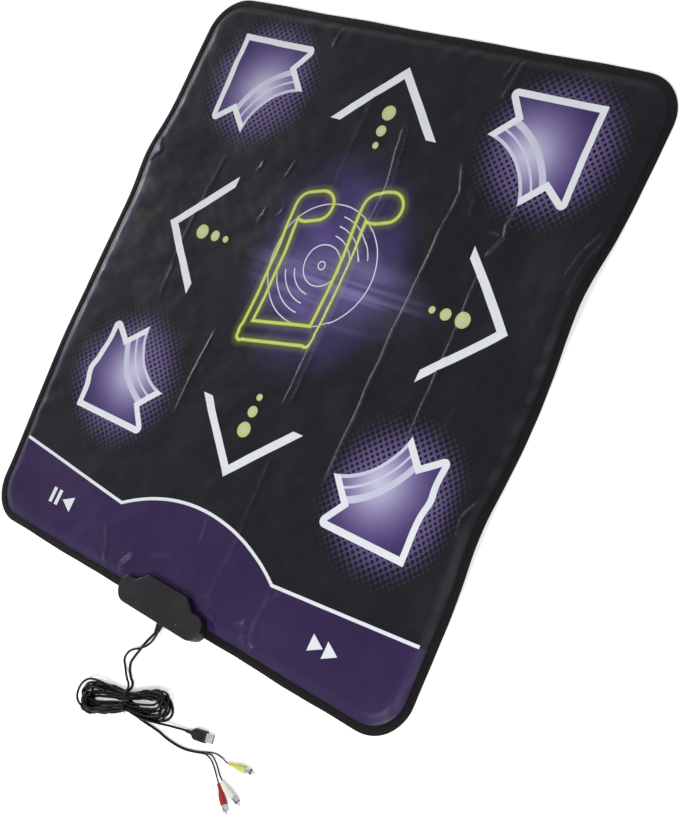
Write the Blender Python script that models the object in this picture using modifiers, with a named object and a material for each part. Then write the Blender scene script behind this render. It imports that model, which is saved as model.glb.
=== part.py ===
"""Dance mat controller: a soft step mat with a plug-in control box, two bundled cords and their plugs.

Frame: metres, +Z up, origin on the floor under the middle of the mat. +Y points from the player
to the control box, +X to the player's right.
"""

import math

import bmesh
import bpy
import numpy as np
from mathutils import Matrix, Vector

# Clearances
GAP = 0.0003
SLIDE_CLEARANCE = 0.0008
CUT_PAST = 0.002

# Mat outline
MAT_WIDTH = 0.840
MAT_LENGTH = 0.910
MAT_CORNER_RADIUS = 0.062
MAT_CORNER_SEGMENTS = 8
MIN_RADIUS = 0.001
BORDER_WIDTH = 0.025
BINDING_WIDTH = 0.012
BINDING_THICKNESS = 0.0008
BINDING_CHAMFER = 0.001
BINDING_CLEARANCE = 0.0006

# Mat layers, from the floor up
BOTTOM_SHEET_THICKNESS = 0.0010
FILM_THICKNESS = 0.0003
SPACER_THICKNESS = 0.0014
FOAM_THICKNESS = 0.0030
COVER_THICKNESS = 0.0006
SHEET_SLOPE_WIDTH = 0.004
LAYER_EDGE_CLEARANCE = 0.0015

# Step pads: eight round a square grid, and two small ones in the strip beside the box
PAD_SPACING = 0.060
PAD_SIDE_MARGIN = 0.075
PAD_PLAYER_MARGIN = 0.035
MENU_STRIP_DEPTH = 0.185
MENU_PAD_WIDTH = 0.150
MENU_PAD_DEPTH = 0.056
MENU_PAD_SIDE_MARGIN = 0.073
MENU_PAD_INSET = 0.041
PAD_CORNER_RADIUS = 0.012
SPACER_HOLE_CLEARANCE = 0.002

# Control box
BOX_WIDTH = 0.168
BOX_PROTRUSION = 0.013
BOX_HEIGHT = 0.020
BOX_PARTING_HEIGHT = 0.010
BOX_WALL = 0.0016
BOX_FLOOR = 0.0010
BOX_ROOF = 0.0018
BOX_FRONT_RADIUS = 0.020
BOX_BACK_RADIUS = 0.013
BOX_EDGE_ROUNDING = 0.0022
BOX_FOOT_CHAMFER = 0.0007
BOX_SIDE_CLEARANCE = 0.0008
TONGUE_TIP_WIDTH = 0.080
TONGUE_ROOT_WIDTH = 0.117
TONGUE_DEPTH = 0.0145
TONGUE_RADIUS = 0.003
LIP_CLEARANCE = 0.0005

# Screws and their bosses
SCREW_X = 0.0700
SCREW_ROW_PITCH = 0.0160
SCREW_FRONT_INSET = 0.0115
SCREW_RADIUS = 0.0013
SCREW_HEAD_RADIUS = 0.0026
SCREW_HEAD_HEIGHT = 0.0016
SCREW_LENGTH = 0.0120
SCREW_HEAD_DEPTH = 0.0030
SCREW_SLOT_WIDTH = 0.0008
SCREW_SLOT_DEPTH = 0.0007
BOSS_WALL = 0.0016

# Circuit board and what sits on it
BOARD_WIDTH = 0.116
BOARD_DEPTH = 0.029
BOARD_THICKNESS = 0.0014
BOARD_BACK_INSET = 0.0026
BOARD_PEG_X = 0.050
BOARD_PEG_INSET = 0.005
BOARD_PEG_RADIUS = 0.0012
TAIL_WIDTH = 0.052
TAIL_OVERLAP = 0.013
STRIP_DEPTH = 0.006
STRIP_HEIGHT = 0.0040
RIB_DEPTH = 0.0026
CHIP_WIDTH = 0.018
CHIP_DEPTH = 0.0075
CHIP_HEIGHT = 0.0022
CHIP_X = 0.024
CHIP_CHAMFER = 0.0004
LIGHT_X = -0.0423
LIGHT_INSET = 0.0120
LIGHT_RADIUS = 0.0015
LIGHT_FLANGE_RADIUS = 0.0019
LIGHT_BODY_HEIGHT = 0.0050
LIGHT_PROUD = 0.0004

# Mode switch
SWITCH_X = -0.031
SWITCH_WIDTH = 0.0085
SWITCH_DEPTH = 0.0065
SWITCH_HEIGHT = 0.0040
SWITCH_TRAVEL = 0.0020
KNOB_WIDTH = 0.0022
KNOB_HEIGHT = 0.0016
KNOB_PROUD = 0.0026
KNOB_ROOT = 0.0030

# Cord boot
BOOT_X = -0.0090
BOOT_LENGTH = 0.0110
BOOT_ROOT_HALF_WIDTH = 0.0068
BOOT_TIP_HALF_WIDTH = 0.0050
BOOT_FLATNESS = 0.58
BOOT_NECK_HALF_WIDTH = 0.0052
BOOT_FLANGE_HALF_WIDTH = 0.0070
BOOT_FLANGE_THICKNESS = 0.0016
BOOT_RIB_COUNT = 4
BOOT_RIB_DEPTH = 0.0008
BOOT_CORD_SPACING = 0.0042
WIRE_BUNDLE_DIAMETER = 0.0022
WIRE_DROP_Y = 0.0090
WIRE_SPACING = 0.0110

# Cords
USB_CORD_DIAMETER = 0.0032
AV_CORD_DIAMETER = 0.0038
BRANCH_CORD_DIAMETER = 0.0020
BRANCH_SPREAD = 0.00140
CORD_FLOOR_CLEARANCE = 0.00005
CORD_STEP = 2.4

# Cord hank: two cords wound one above the other into a bow with a tied waist.
# From here on, Y is counted from the control box's front wall.
HANK_CENTRE = (-0.0055, 0.1190)
HANK_HEADING = math.radians(200.8)
HANK_LOBE_SPACING = 0.112
HANK_LOBE_RADIUS = 0.0114
HANK_WAIST_MARGIN = 0.0003
HANK_STRAND_GAP = 0.0007
HANK_LAYER_GAP = 0.0005
HANK_WAIST_LIFT = 0.0014
HANK_TURNS_IN = 2.5
HANK_TURNS = 5.5
LOOP_POINTS = 24
TIE_WIDTH = 0.0050
TIE_PLACE = -0.0050
TIE_THICKNESS = 0.0008

# USB plug, in its own frame: +X out of the grip
USB_PLUG_PLACE = (-0.1228, 0.1051, 0.0041)
USB_PLUG_HEADING = math.radians(192.4)
USB_GRIP_WIDTH = 0.0160
USB_GRIP_HEIGHT = 0.0080
USB_GRIP_LENGTH = 0.0350
USB_NECK_LENGTH = 0.0090
USB_NECK_DIAMETER = 0.0052
USB_SHELL_WIDTH = 0.0120
USB_SHELL_HEIGHT = 0.0045
USB_SHELL_WALL = 0.0004
USB_SHELL_REACH = 0.0118
USB_SHELL_SEAT = 0.0020
USB_WINDOW_SIZE = 0.0022
USB_WINDOW_SPACING = 0.0052
USB_TONGUE_WIDTH = 0.0104
USB_TONGUE_HEIGHT = 0.0017
USB_TONGUE_SETBACK = 0.0004

# RCA plugs, in their own frames: +X out of the grip
RCA_GRIP_LENGTH = 0.0290
RCA_GRIP_RADIUS = 0.0049
RCA_NECK_RADIUS = 0.0023
RCA_NECK_LENGTH = 0.0080
RCA_RING_RADIUS = 0.0042
RCA_RING_WALL = 0.0005
RCA_RING_REACH = 0.0075
RCA_RING_SEAT = 0.0030
RCA_SLOT_WIDTH = 0.0009
RCA_SLOT_DEPTH = 0.0055
RCA_INSULATOR_REACH = 0.0015
RCA_PIN_RADIUS = 0.0016
RCA_PIN_REACH = 0.0145
RCA_PLUGS = {
    "yellow": ((-0.2085, 0.1090), math.radians(191.5), (0.85, 0.78, 0.16)),
    "red": ((-0.2062, 0.1383), math.radians(139.7), (0.75, 0.08, 0.06)),
    "white": ((-0.2102, 0.1322), math.radians(161.3), (0.90, 0.90, 0.90)),
}

# Cord routes: hand-chosen points (x, y, z) between the fixed ends
USB_LEAD_ROUTE = [
    (-0.0085, 0.0230, 0.0088),
    (-0.0045, 0.0320, 0.0078),
    (0.0030, 0.0405, 0.0070),
    (0.0115, 0.0466, 0.0064),
    (0.0218, 0.0528, 0.0042),
    (0.0300, 0.0610, 0.0018),
    (0.0310, 0.0705, 0.0017),
]
AV_LEAD_ROUTE = [
    (-0.0015, 0.0235, 0.0075),
    (0.0050, 0.0325, 0.0040),
    (0.0095, 0.0410, 0.0022),
    (0.0125, 0.0510, 0.0020),
    (0.0158, 0.0620, 0.0020),
    (0.0171, 0.0700, 0.0020),
]
USB_TAIL_ROUTE = [
    (-0.1065, 0.1090, 0.0055),
    (-0.1130, 0.1073, 0.0045),
]
AV_TAIL_ROUTE = [
    (-0.0800, 0.1280, 0.0020),
    (-0.0920, 0.1293, 0.0020),
    (-0.1055, 0.1296, 0.0020),
    (-0.1190, 0.1290, 0.0020),
    (-0.1330, 0.1269, 0.0020),
    (-0.1480, 0.1225, 0.0020),
]
AV_TAIL_END = (-0.1600, 0.1180, 0.0025)
AV_TAIL_HEADING = math.radians(200.5)
BRANCH_ROUTES = {
    "yellow": [(-0.1710, 0.1120, 0.0016), (-0.1800, 0.1092, 0.0011), (-0.1915, 0.1086, 0.0022)],
    "red": [(-0.1745, 0.1178, 0.0026), (-0.1840, 0.1235, 0.0012), (-0.1940, 0.1305, 0.0022)],
    "white": [(-0.1745, 0.1138, 0.0011), (-0.1860, 0.1188, 0.0011), (-0.1980, 0.1270, 0.0022)],
}

# Heights that follow from the layers
BINDING_HEIGHT = 2 * BINDING_THICKNESS + BOTTOM_SHEET_THICKNESS + COVER_THICKNESS + 3 * GAP
LOWER_FILM_Z = BOTTOM_SHEET_THICKNESS + GAP
SPACER_Z = LOWER_FILM_Z + FILM_THICKNESS + GAP
UPPER_FILM_Z = SPACER_Z + SPACER_THICKNESS + GAP
FOAM_Z = UPPER_FILM_Z + FILM_THICKNESS + GAP
COVER_Z = FOAM_Z + FOAM_THICKNESS + GAP
COVER_TOP = COVER_Z + COVER_THICKNESS
BOTTOM_FLANGE_TOP = BINDING_THICKNESS + GAP + BOTTOM_SHEET_THICKNESS
COVER_FLANGE_TOP = BINDING_HEIGHT - BINDING_THICKNESS - GAP

# Places that follow from the outline
NOTCH_Y = MAT_LENGTH / 2 - BORDER_WIDTH
NOTCH_HALF = BOX_WIDTH / 2 + BOX_SIDE_CLEARANCE
LAYER_EDGE = BORDER_WIDTH + LAYER_EDGE_CLEARANCE
BOX_BACK = NOTCH_Y + GAP
BOX_FRONT = MAT_LENGTH / 2 + BOX_PROTRUSION
TONGUE_TIP_Y = NOTCH_Y - TONGUE_DEPTH
MOUTH_TOP = COVER_TOP + GAP
BOARD_BACK = BOX_BACK + BOARD_BACK_INSET
BOARD_Z = SPACER_Z
BOARD_TOP = BOARD_Z + BOARD_THICKNESS
ON_BOARD = BOARD_TOP + GAP
BOOT_Z = BOX_PARTING_HEIGHT + GAP / 2
FRONT_WALL_INSIDE = BOX_FRONT - BOX_WALL
STRIP_Y = BOARD_BACK + TAIL_OVERLAP / 2

PART = bpy.data.collections.new("dance_mat_controller")
CUTTERS = bpy.data.collections.new("cutters")


# Scene helpers


def clear_scene():
    """Remove what the opened scene holds and add the two collections."""
    for obj in list(bpy.data.objects):
        bpy.data.objects.remove(obj, do_unlink=True)
    bpy.context.scene.collection.children.link(PART)
    bpy.context.scene.collection.children.link(CUTTERS)


def finish(obj, colour, roughness, metallic=0.0):
    """Put a piece in the part's collection with a material of its own."""
    material = bpy.data.materials.new(obj.name)
    material.use_nodes = True
    shader = material.node_tree.nodes["Principled BSDF"]
    shader.inputs["Base Color"].default_value = (*colour, 1.0)
    shader.inputs["Roughness"].default_value = roughness
    shader.inputs["Metallic"].default_value = metallic
    obj.data.materials.clear()
    obj.data.materials.append(material)
    PART.objects.link(obj)
    return obj


def combine(target, tool, operation):
    """Cut a tool from a piece, or join it on, with an exact Boolean."""
    CUTTERS.objects.link(tool)
    tool.hide_render = True
    tool.display_type = "WIRE"
    modifier = target.modifiers.new(tool.name, "BOOLEAN")
    modifier.operation = operation
    modifier.solver = "EXACT"
    modifier.object = tool
    return target


def cut(target, tool):
    return combine(target, tool, "DIFFERENCE")


def join(target, tool):
    return combine(target, tool, "UNION")


def mesh_object(name, bm, recalculate=True):
    """Turn an edit mesh into an object that is in no collection yet."""
    if recalculate:
        bmesh.ops.recalc_face_normals(bm, faces=bm.faces)
    mesh = bpy.data.meshes.new(name)
    bm.to_mesh(mesh)
    bm.free()
    return bpy.data.objects.new(name, mesh)


def smooth(obj, angle=30.0):
    """Shade a round piece smooth, apart from its sharp edges."""
    obj.data.shade_smooth()
    obj.data.set_sharp_from_angle(angle=math.radians(angle))
    return obj


# Outlines


def rounded(corners, segments=4):
    """Outline of a polygon with arcs for corners; each corner is (x, y, radius)."""
    outline = []
    for i, (x, y, radius) in enumerate(corners):
        corner = Vector((x, y))
        back = (Vector(corners[i - 1][:2]) - corner).normalized()
        ahead = (Vector(corners[(i + 1) % len(corners)][:2]) - corner).normalized()
        half = math.acos(max(-1.0, min(1.0, back.dot(ahead)))) / 2
        centre = corner + (back + ahead).normalized() * (radius / math.sin(half))
        start = corner + back * (radius / math.tan(half)) - centre
        end = corner + ahead * (radius / math.tan(half)) - centre
        first = math.atan2(start.y, start.x)
        sweep = math.remainder(math.atan2(end.y, end.x) - first, 2 * math.pi)
        for k in range(segments + 1):
            angle = first + sweep * k / segments
            outline.append((centre.x + radius * math.cos(angle), centre.y + radius * math.sin(angle)))
    return outline


def inset_corners(corners, distance):
    """Move every side of an anticlockwise polygon inwards, its corner arcs staying concentric."""
    moved = []
    for i, (x, y, radius) in enumerate(corners):
        corner = Vector((x, y))
        along = (corner - Vector(corners[i - 1][:2])).normalized()
        ahead = (Vector(corners[(i + 1) % len(corners)][:2]) - corner).normalized()
        inward_a = Vector((-along.y, along.x))
        inward_b = Vector((-ahead.y, ahead.x))
        shift = (inward_a + inward_b) * (distance / (1 + inward_a.dot(inward_b)))
        turn = along.x * ahead.y - along.y * ahead.x
        kept = radius - distance if turn > 0 else radius + distance
        moved.append((x + shift.x, y + shift.y, max(kept, MIN_RADIUS / 4)))
    return moved


def rectangle(width, depth, radius, centre=(0.0, 0.0)):
    """Corners of a rounded rectangle, anticlockwise from its lower left."""
    x, y = centre
    return [
        (x - width / 2, y - depth / 2, radius),
        (x + width / 2, y - depth / 2, radius),
        (x + width / 2, y + depth / 2, radius),
        (x - width / 2, y + depth / 2, radius),
    ]


def mat_chain(inset):
    """Open outline along the mat's edge, from the box notch anticlockwise round to its other side."""
    x = MAT_WIDTH / 2 - inset
    y = MAT_LENGTH / 2 - inset
    radius = max(MAT_CORNER_RADIUS - inset, MIN_RADIUS)
    corners = [(-x, y, radius), (-x, -y, radius), (x, -y, radius), (x, y, radius)]
    return [(-NOTCH_HALF, y)] + rounded(corners, MAT_CORNER_SEGMENTS) + [(NOTCH_HALF, y)]


def tongue_corners(clearance=0.0):
    """Root and tip of the box's tongue, from +X round to -X, widened by a clearance."""
    root = TONGUE_ROOT_WIDTH / 2 + clearance
    tip = TONGUE_TIP_WIDTH / 2 + clearance
    return [
        (root, NOTCH_Y),
        (tip, TONGUE_TIP_Y - clearance),
        (-tip, TONGUE_TIP_Y - clearance),
        (-root, NOTCH_Y),
    ]


def box_corners():
    """Plan of the control box: wide rounded ends and a narrower tongue over the mat."""
    half = BOX_WIDTH / 2
    root = TONGUE_ROOT_WIDTH / 2
    tip = TONGUE_TIP_WIDTH / 2
    return [
        (-tip, TONGUE_TIP_Y, TONGUE_RADIUS),
        (tip, TONGUE_TIP_Y, TONGUE_RADIUS),
        (root, BOX_BACK, TONGUE_RADIUS),
        (half, BOX_BACK, BOX_BACK_RADIUS),
        (half, BOX_FRONT, BOX_FRONT_RADIUS),
        (-half, BOX_FRONT, BOX_FRONT_RADIUS),
        (-half, BOX_BACK, BOX_BACK_RADIUS),
        (-root, BOX_BACK, TONGUE_RADIUS),
    ]


def mouth_corners():
    """Plan of the lower half's hollow, open at the back over the whole tongue."""
    side = BOX_WIDTH / 2 - BOX_WALL
    mouth = TONGUE_ROOT_WIDTH / 2 + TONGUE_RADIUS + GAP
    tip = TONGUE_TIP_Y - CUT_PAST
    back = BOX_BACK + BOX_WALL
    front = BOX_FRONT - BOX_WALL
    back_radius = BOX_BACK_RADIUS - BOX_WALL
    front_radius = BOX_FRONT_RADIUS - BOX_WALL
    return [
        (-mouth, tip, MIN_RADIUS),
        (mouth, tip, MIN_RADIUS),
        (mouth, back, MIN_RADIUS),
        (side, back, back_radius),
        (side, front, front_radius),
        (-side, front, front_radius),
        (-side, back, back_radius),
        (-mouth, back, MIN_RADIUS),
    ]


# Solids


def plate(name, outlines, bottom, thickness):
    """A flat piece: the first outline is its edge and the others are its holes."""
    curve = bpy.data.curves.new(name, "CURVE")
    curve.dimensions = "2D"
    curve.fill_mode = "BOTH"
    curve.extrude = thickness / 2
    for outline in outlines:
        spline = curve.splines.new("POLY")
        spline.points.add(len(outline) - 1)
        for point, (x, y) in zip(spline.points, outline):
            point.co = (x, y, 0.0, 1.0)
        spline.use_cyclic_u = True
    obj = bpy.data.objects.new(name, curve)
    obj.location.z = bottom + thickness / 2
    return obj


def loft(name, rings):
    """A closed solid through rings of equal length, with flat ends."""
    bm = bmesh.new()
    loops = [[bm.verts.new(point) for point in ring] for ring in rings]
    for lower, upper in zip(loops, loops[1:]):
        for k in range(len(lower)):
            after = (k + 1) % len(lower)
            bm.faces.new((lower[k], lower[after], upper[after], upper[k]))
    bm.faces.new(loops[0])
    bm.faces.new(loops[-1])
    return mesh_object(name, bm)


def block(name, low, high):
    """An axis-aligned box between two corners."""
    bm = bmesh.new()
    bmesh.ops.create_cube(bm, size=1.0)
    size = [b - a for a, b in zip(low, high)]
    middle = [(a + b) / 2 for a, b in zip(low, high)]
    bmesh.ops.scale(bm, vec=size, verts=bm.verts)
    bmesh.ops.translate(bm, vec=middle, verts=bm.verts)
    return mesh_object(name, bm)


def turned(name, profile, steps=16, closed=False):
    """A solid of revolution about Z; the profile's outer side runs from top to bottom."""
    bm = bmesh.new()
    verts = [bm.verts.new((radius, 0.0, height)) for radius, height in profile]
    for a, b in zip(verts, verts[1:]):
        bm.edges.new((a, b))
    if closed:
        bm.edges.new((verts[-1], verts[0]))
    obj = mesh_object(name, bm, recalculate=False)
    screw = obj.modifiers.new("turn", "SCREW")
    screw.steps = steps
    screw.render_steps = steps
    screw.use_merge_vertices = True
    screw.merge_threshold = 0.00001
    return obj


def upright_cylinder(name, radius, bottom, top, place, segments=16):
    """A cylinder about Z, with its foot and head at two heights."""
    bm = bmesh.new()
    bmesh.ops.create_cone(
        bm, cap_ends=True, segments=segments, radius1=radius, radius2=radius, depth=top - bottom
    )
    bmesh.ops.translate(bm, vec=(place[0], place[1], (bottom + top) / 2), verts=bm.verts)
    return mesh_object(name, bm)


def sheet(name, rings, thickness, closing=()):
    """A thin sheet through open edge chains (inset, height of its top), filled in the middle."""
    bm = bmesh.new()
    loops = []
    for inset, top in rings:
        loops.append([bm.verts.new((x, y, top)) for x, y in mat_chain(inset)])
    for inner, outer in zip(loops, loops[1:]):
        for k in range(len(inner) - 1):
            bm.faces.new((inner[k], outer[k], outer[k + 1], inner[k + 1]))
    middle = loops[0] + [bm.verts.new((x, y, rings[0][1])) for x, y in closing]
    bm.faces.new(middle)
    obj = mesh_object(name, bm, recalculate=False)
    solid = obj.modifiers.new("thickness", "SOLIDIFY")
    solid.thickness = thickness
    solid.offset = -1.0
    solid.use_even_offset = True
    return obj


def curve_point(points, k, share):
    """A point on the centripetal spline through the points, between points k and k + 1."""
    ends = [points[0] * 2 - points[1]] + points + [points[-1] * 2 - points[-2]]
    a, b, c, d = ends[k], ends[k + 1], ends[k + 2], ends[k + 3]
    t0 = 0.0
    t1 = t0 + math.sqrt((b - a).length)
    t2 = t1 + math.sqrt((c - b).length)
    t3 = t2 + math.sqrt((d - c).length)
    t = t1 + (t2 - t1) * share
    ab = a * ((t1 - t) / (t1 - t0)) + b * ((t - t0) / (t1 - t0))
    bc = b * ((t2 - t) / (t2 - t1)) + c * ((t - t1) / (t2 - t1))
    cd = c * ((t3 - t) / (t3 - t2)) + d * ((t - t2) / (t3 - t2))
    abc = ab * ((t2 - t) / (t2 - t0)) + bc * ((t - t0) / (t2 - t0))
    bcd = bc * ((t3 - t) / (t3 - t1)) + cd * ((t - t1) / (t3 - t1))
    return abc * ((t2 - t) / (t2 - t1)) + bcd * ((t - t1) / (t2 - t1))


def in_front(point):
    """A point whose Y is counted from the box's front wall, in the part's frame."""
    return Vector((point[0], point[1] + BOX_FRONT, point[2]))


def smooth_route(route, step):
    """Even steps along one smooth curve through a route's points, both ends kept."""
    points = [Vector(p) for p in route]
    fine = [curve_point(points, k, i / 24) for k in range(len(points) - 1) for i in range(24)]
    fine.append(points[-1])
    lengths = [0.0]
    for a, b in zip(fine, fine[1:]):
        lengths.append(lengths[-1] + (b - a).length)
    count = max(2, round(lengths[-1] / step))
    wanted = np.linspace(0.0, lengths[-1], count + 1)
    axes = [np.interp(wanted, lengths, [p[axis] for p in fine]) for axis in range(3)]
    return [Vector(p) for p in zip(*axes)], lengths[-1]


def tube(name, points, diameter, resolution=2):
    """A round cord along its points, with closed ends."""
    curve = bpy.data.curves.new(name, "CURVE")
    curve.dimensions = "3D"
    curve.bevel_depth = diameter / 2
    curve.bevel_resolution = resolution
    curve.use_fill_caps = True
    spline = curve.splines.new("POLY")
    spline.points.add(len(points) - 1)
    for target, point in zip(spline.points, points):
        target.co = (*point, 1.0)
    return bpy.data.objects.new(name, curve)


# Mat


def cover_sheet():
    """The printed cover: flat over the foam, sloping down to its sewn edge."""
    rings = [
        (BORDER_WIDTH, COVER_TOP),
        (BINDING_WIDTH + BINDING_CLEARANCE, COVER_FLANGE_TOP),
        (BINDING_THICKNESS + GAP, COVER_FLANGE_TOP),
    ]
    return finish(sheet("top_cover", rings, COVER_THICKNESS), (0.025, 0.022, 0.035), 0.35)


def bottom_sheet():
    """The non-slip underside: flat on the floor, lifted at its sewn edge, cut out for the box."""
    flange = BINDING_WIDTH + BINDING_CLEARANCE
    rings = [
        (flange + SHEET_SLOPE_WIDTH, BOTTOM_SHEET_THICKNESS),
        (flange, BOTTOM_FLANGE_TOP),
        (BINDING_THICKNESS + GAP, BOTTOM_FLANGE_TOP),
    ]
    closing = [(NOTCH_HALF, NOTCH_Y)] + tongue_corners(LIP_CLEARANCE) + [(-NOTCH_HALF, NOTCH_Y)]
    sheet_obj = sheet("bottom_sheet", rings, BOTTOM_SHEET_THICKNESS, closing)
    return finish(sheet_obj, (0.03, 0.03, 0.035), 0.9)


def edge_binding():
    """The folded tape sewn round the mat's edge, open at the control box."""
    top = BINDING_HEIGHT
    chamfer = BINDING_CHAMFER
    profile = [
        (BINDING_WIDTH, top),
        (chamfer, top),
        (0.0, top - chamfer),
        (0.0, chamfer),
        (chamfer, 0.0),
        (BINDING_WIDTH, 0.0),
    ]
    bm = bmesh.new()
    loops = [[bm.verts.new((x, y, z)) for x, y in mat_chain(inset)] for inset, z in profile]
    for inner, outer in zip(loops, loops[1:]):
        for k in range(len(inner) - 1):
            bm.faces.new((inner[k], outer[k], outer[k + 1], inner[k + 1]))
    obj = mesh_object("edge_binding", bm, recalculate=False)
    solid = obj.modifiers.new("thickness", "SOLIDIFY")
    solid.thickness = BINDING_THICKNESS
    solid.offset = -1.0
    solid.use_even_offset = True
    return finish(obj, (0.012, 0.012, 0.014), 0.85)


def pad_places():
    """Name, centre and size of each step pad."""
    width = (MAT_WIDTH - 2 * PAD_SIDE_MARGIN - 2 * PAD_SPACING) / 3
    depth = (MAT_LENGTH - PAD_PLAYER_MARGIN - MENU_STRIP_DEPTH - 2 * PAD_SPACING) / 3
    middle_y = -MAT_LENGTH / 2 + PAD_PLAYER_MARGIN + depth * 1.5 + PAD_SPACING
    grid = {
        "down_left": (-1, -1),
        "down": (0, -1),
        "down_right": (1, -1),
        "left": (-1, 0),
        "right": (1, 0),
        "up_left": (-1, 1),
        "up": (0, 1),
        "up_right": (1, 1),
    }
    places = []
    for name, (column, row) in grid.items():
        centre = (column * (width + PAD_SPACING), middle_y + row * (depth + PAD_SPACING))
        places.append((f"step_pad_{name}", centre, (width, depth)))
    menu_x = MAT_WIDTH / 2 - MENU_PAD_SIDE_MARGIN - MENU_PAD_WIDTH / 2
    menu_y = MAT_LENGTH / 2 - MENU_PAD_INSET - MENU_PAD_DEPTH / 2
    for name, side in (("back", -1), ("start", 1)):
        places.append((f"step_pad_{name}", (side * menu_x, menu_y), (MENU_PAD_WIDTH, MENU_PAD_DEPTH)))
    return places


def pad_outline(centre, size, clearance):
    """A pad's rounded outline, widened by a clearance."""
    width = size[0] + 2 * clearance
    depth = size[1] + 2 * clearance
    return rounded(rectangle(width, depth, PAD_CORNER_RADIUS + clearance, centre))


def step_pads():
    """Ten loose foam blocks, each of which presses the films together under it."""
    for name, centre, size in pad_places():
        pad = plate(name, [pad_outline((0.0, 0.0), size, 0.0)], FOAM_Z, FOAM_THICKNESS)
        pad.location.x = centre[0]
        pad.location.y = centre[1]
        finish(pad, (0.10, 0.09, 0.13), 0.8)


def layer_corners():
    """Corners of the inner layers, which stop short of the sewn border."""
    radius = max(MAT_CORNER_RADIUS - LAYER_EDGE, MIN_RADIUS)
    return rectangle(MAT_WIDTH - 2 * LAYER_EDGE, MAT_LENGTH - 2 * LAYER_EDGE, radius)


def film_corners():
    """The inner layers' corners with a tail that reaches the circuit board."""
    half = TAIL_WIDTH / 2
    edge = MAT_LENGTH / 2 - LAYER_EDGE
    end = BOARD_BACK + TAIL_OVERLAP
    tail = [
        (half, edge, MIN_RADIUS),
        (half, end, MIN_RADIUS),
        (-half, end, MIN_RADIUS),
        (-half, edge, MIN_RADIUS),
    ]
    corners = layer_corners()
    return corners[:3] + tail + corners[3:]


def inner_layers():
    """The two contact films, the spacer between them and the foam above."""
    places = pad_places()
    spacer_holes = [pad_outline(c, s, SPACER_HOLE_CLEARANCE) for _, c, s in places]
    foam_holes = [pad_outline(c, s, SLIDE_CLEARANCE) for _, c, s in places]
    film = [rounded(film_corners())]
    layer = [rounded(layer_corners())]
    lower = plate("lower_contact_film", film, LOWER_FILM_Z, FILM_THICKNESS)
    spacer = plate("spacer_foam", layer + spacer_holes, SPACER_Z, SPACER_THICKNESS)
    upper = plate("upper_contact_film", film, UPPER_FILM_Z, FILM_THICKNESS)
    foam = plate("cushion_foam", layer + foam_holes, FOAM_Z, FOAM_THICKNESS)
    finish(lower, (0.55, 0.55, 0.52), 0.3)
    finish(spacer, (0.85, 0.85, 0.82), 0.8)
    finish(upper, (0.55, 0.55, 0.52), 0.3)
    finish(foam, (0.75, 0.74, 0.70), 0.9)


# Control box


def screw_places():
    """Centres of the four case screws."""
    front = BOX_FRONT - SCREW_FRONT_INSET
    rows = (front - SCREW_ROW_PITCH, front)
    return [(side * SCREW_X, y) for side in (-1, 1) for y in rows]


def box_ring(inset, height, segments=6):
    """The box plan at one height, moved inwards."""
    corners = inset_corners(box_corners(), inset) if inset else box_corners()
    return [(x, y, height) for x, y in rounded(corners, segments)]


def cord_hole(name):
    """A flat oval hole through the front wall for the cords' boot."""
    bm = bmesh.new()
    radius = BOOT_NECK_HALF_WIDTH + GAP
    bmesh.ops.create_cone(bm, cap_ends=True, segments=20, radius1=radius, radius2=radius, depth=0.01)
    bmesh.ops.scale(bm, vec=(1.0, BOOT_FLATNESS, 1.0), verts=bm.verts)
    bmesh.ops.rotate(bm, matrix=Matrix.Rotation(math.pi / 2, 3, "X"), verts=bm.verts)
    bmesh.ops.translate(bm, vec=(BOOT_X, FRONT_WALL_INSIDE, BOOT_Z), verts=bm.verts)
    return mesh_object(name, bm)


def box_top_shell():
    """Upper half of the housing, with a rounded roof edge, bosses, a rib and a hole for the light."""
    edge = BOX_EDGE_ROUNDING
    rings = [box_ring(0.0, MOUTH_TOP)]
    for step in range(4):
        angle = math.pi / 2 * step / 3
        rings.append(box_ring(edge * (1 - math.cos(angle)), BOX_HEIGHT - edge * (1 - math.sin(angle))))
    shell = loft("box_top_shell", rings)
    roof_inside = BOX_HEIGHT - BOX_ROOF
    cavity = [box_ring(BOX_WALL, 0.0), box_ring(BOX_WALL, roof_inside)]
    cut(shell, loft("top_shell_cavity", cavity))
    low = (-BOX_WIDTH, BOX_BACK - GAP / 2, -CUT_PAST)
    high = (BOX_WIDTH, BOX_FRONT + CUT_PAST, BOX_PARTING_HEIGHT + GAP)
    cut(shell, block("top_shell_parting", low, high))
    for number, place in enumerate(screw_places()):
        radius = SCREW_RADIUS + GAP + BOSS_WALL
        bottom = BOX_PARTING_HEIGHT + GAP
        boss = upright_cylinder(f"top_boss_{number}", radius, bottom, roof_inside + BOX_ROOF / 2, place)
        join(shell, boss)
        tip = SCREW_HEAD_DEPTH - GAP + SCREW_LENGTH + GAP
        hole = upright_cylinder(f"top_boss_hole_{number}", SCREW_RADIUS + GAP, 0.0, tip, place)
        cut(shell, hole)
    rib_bottom = UPPER_FILM_Z + FILM_THICKNESS + GAP + STRIP_HEIGHT + GAP
    low = (-TAIL_WIDTH / 2, STRIP_Y - RIB_DEPTH / 2, rib_bottom)
    high = (TAIL_WIDTH / 2, STRIP_Y + RIB_DEPTH / 2, roof_inside + BOX_ROOF / 2)
    join(shell, block("strip_rib", low, high))
    light = (LIGHT_X, BOX_FRONT - LIGHT_INSET)
    top = BOX_HEIGHT + CUT_PAST
    cut(shell, upright_cylinder("light_hole", LIGHT_RADIUS + GAP, BOX_PARTING_HEIGHT, top, light))
    cut(shell, cord_hole("top_cord_hole"))
    return finish(shell, (0.055, 0.055, 0.060), 0.55)


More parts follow.
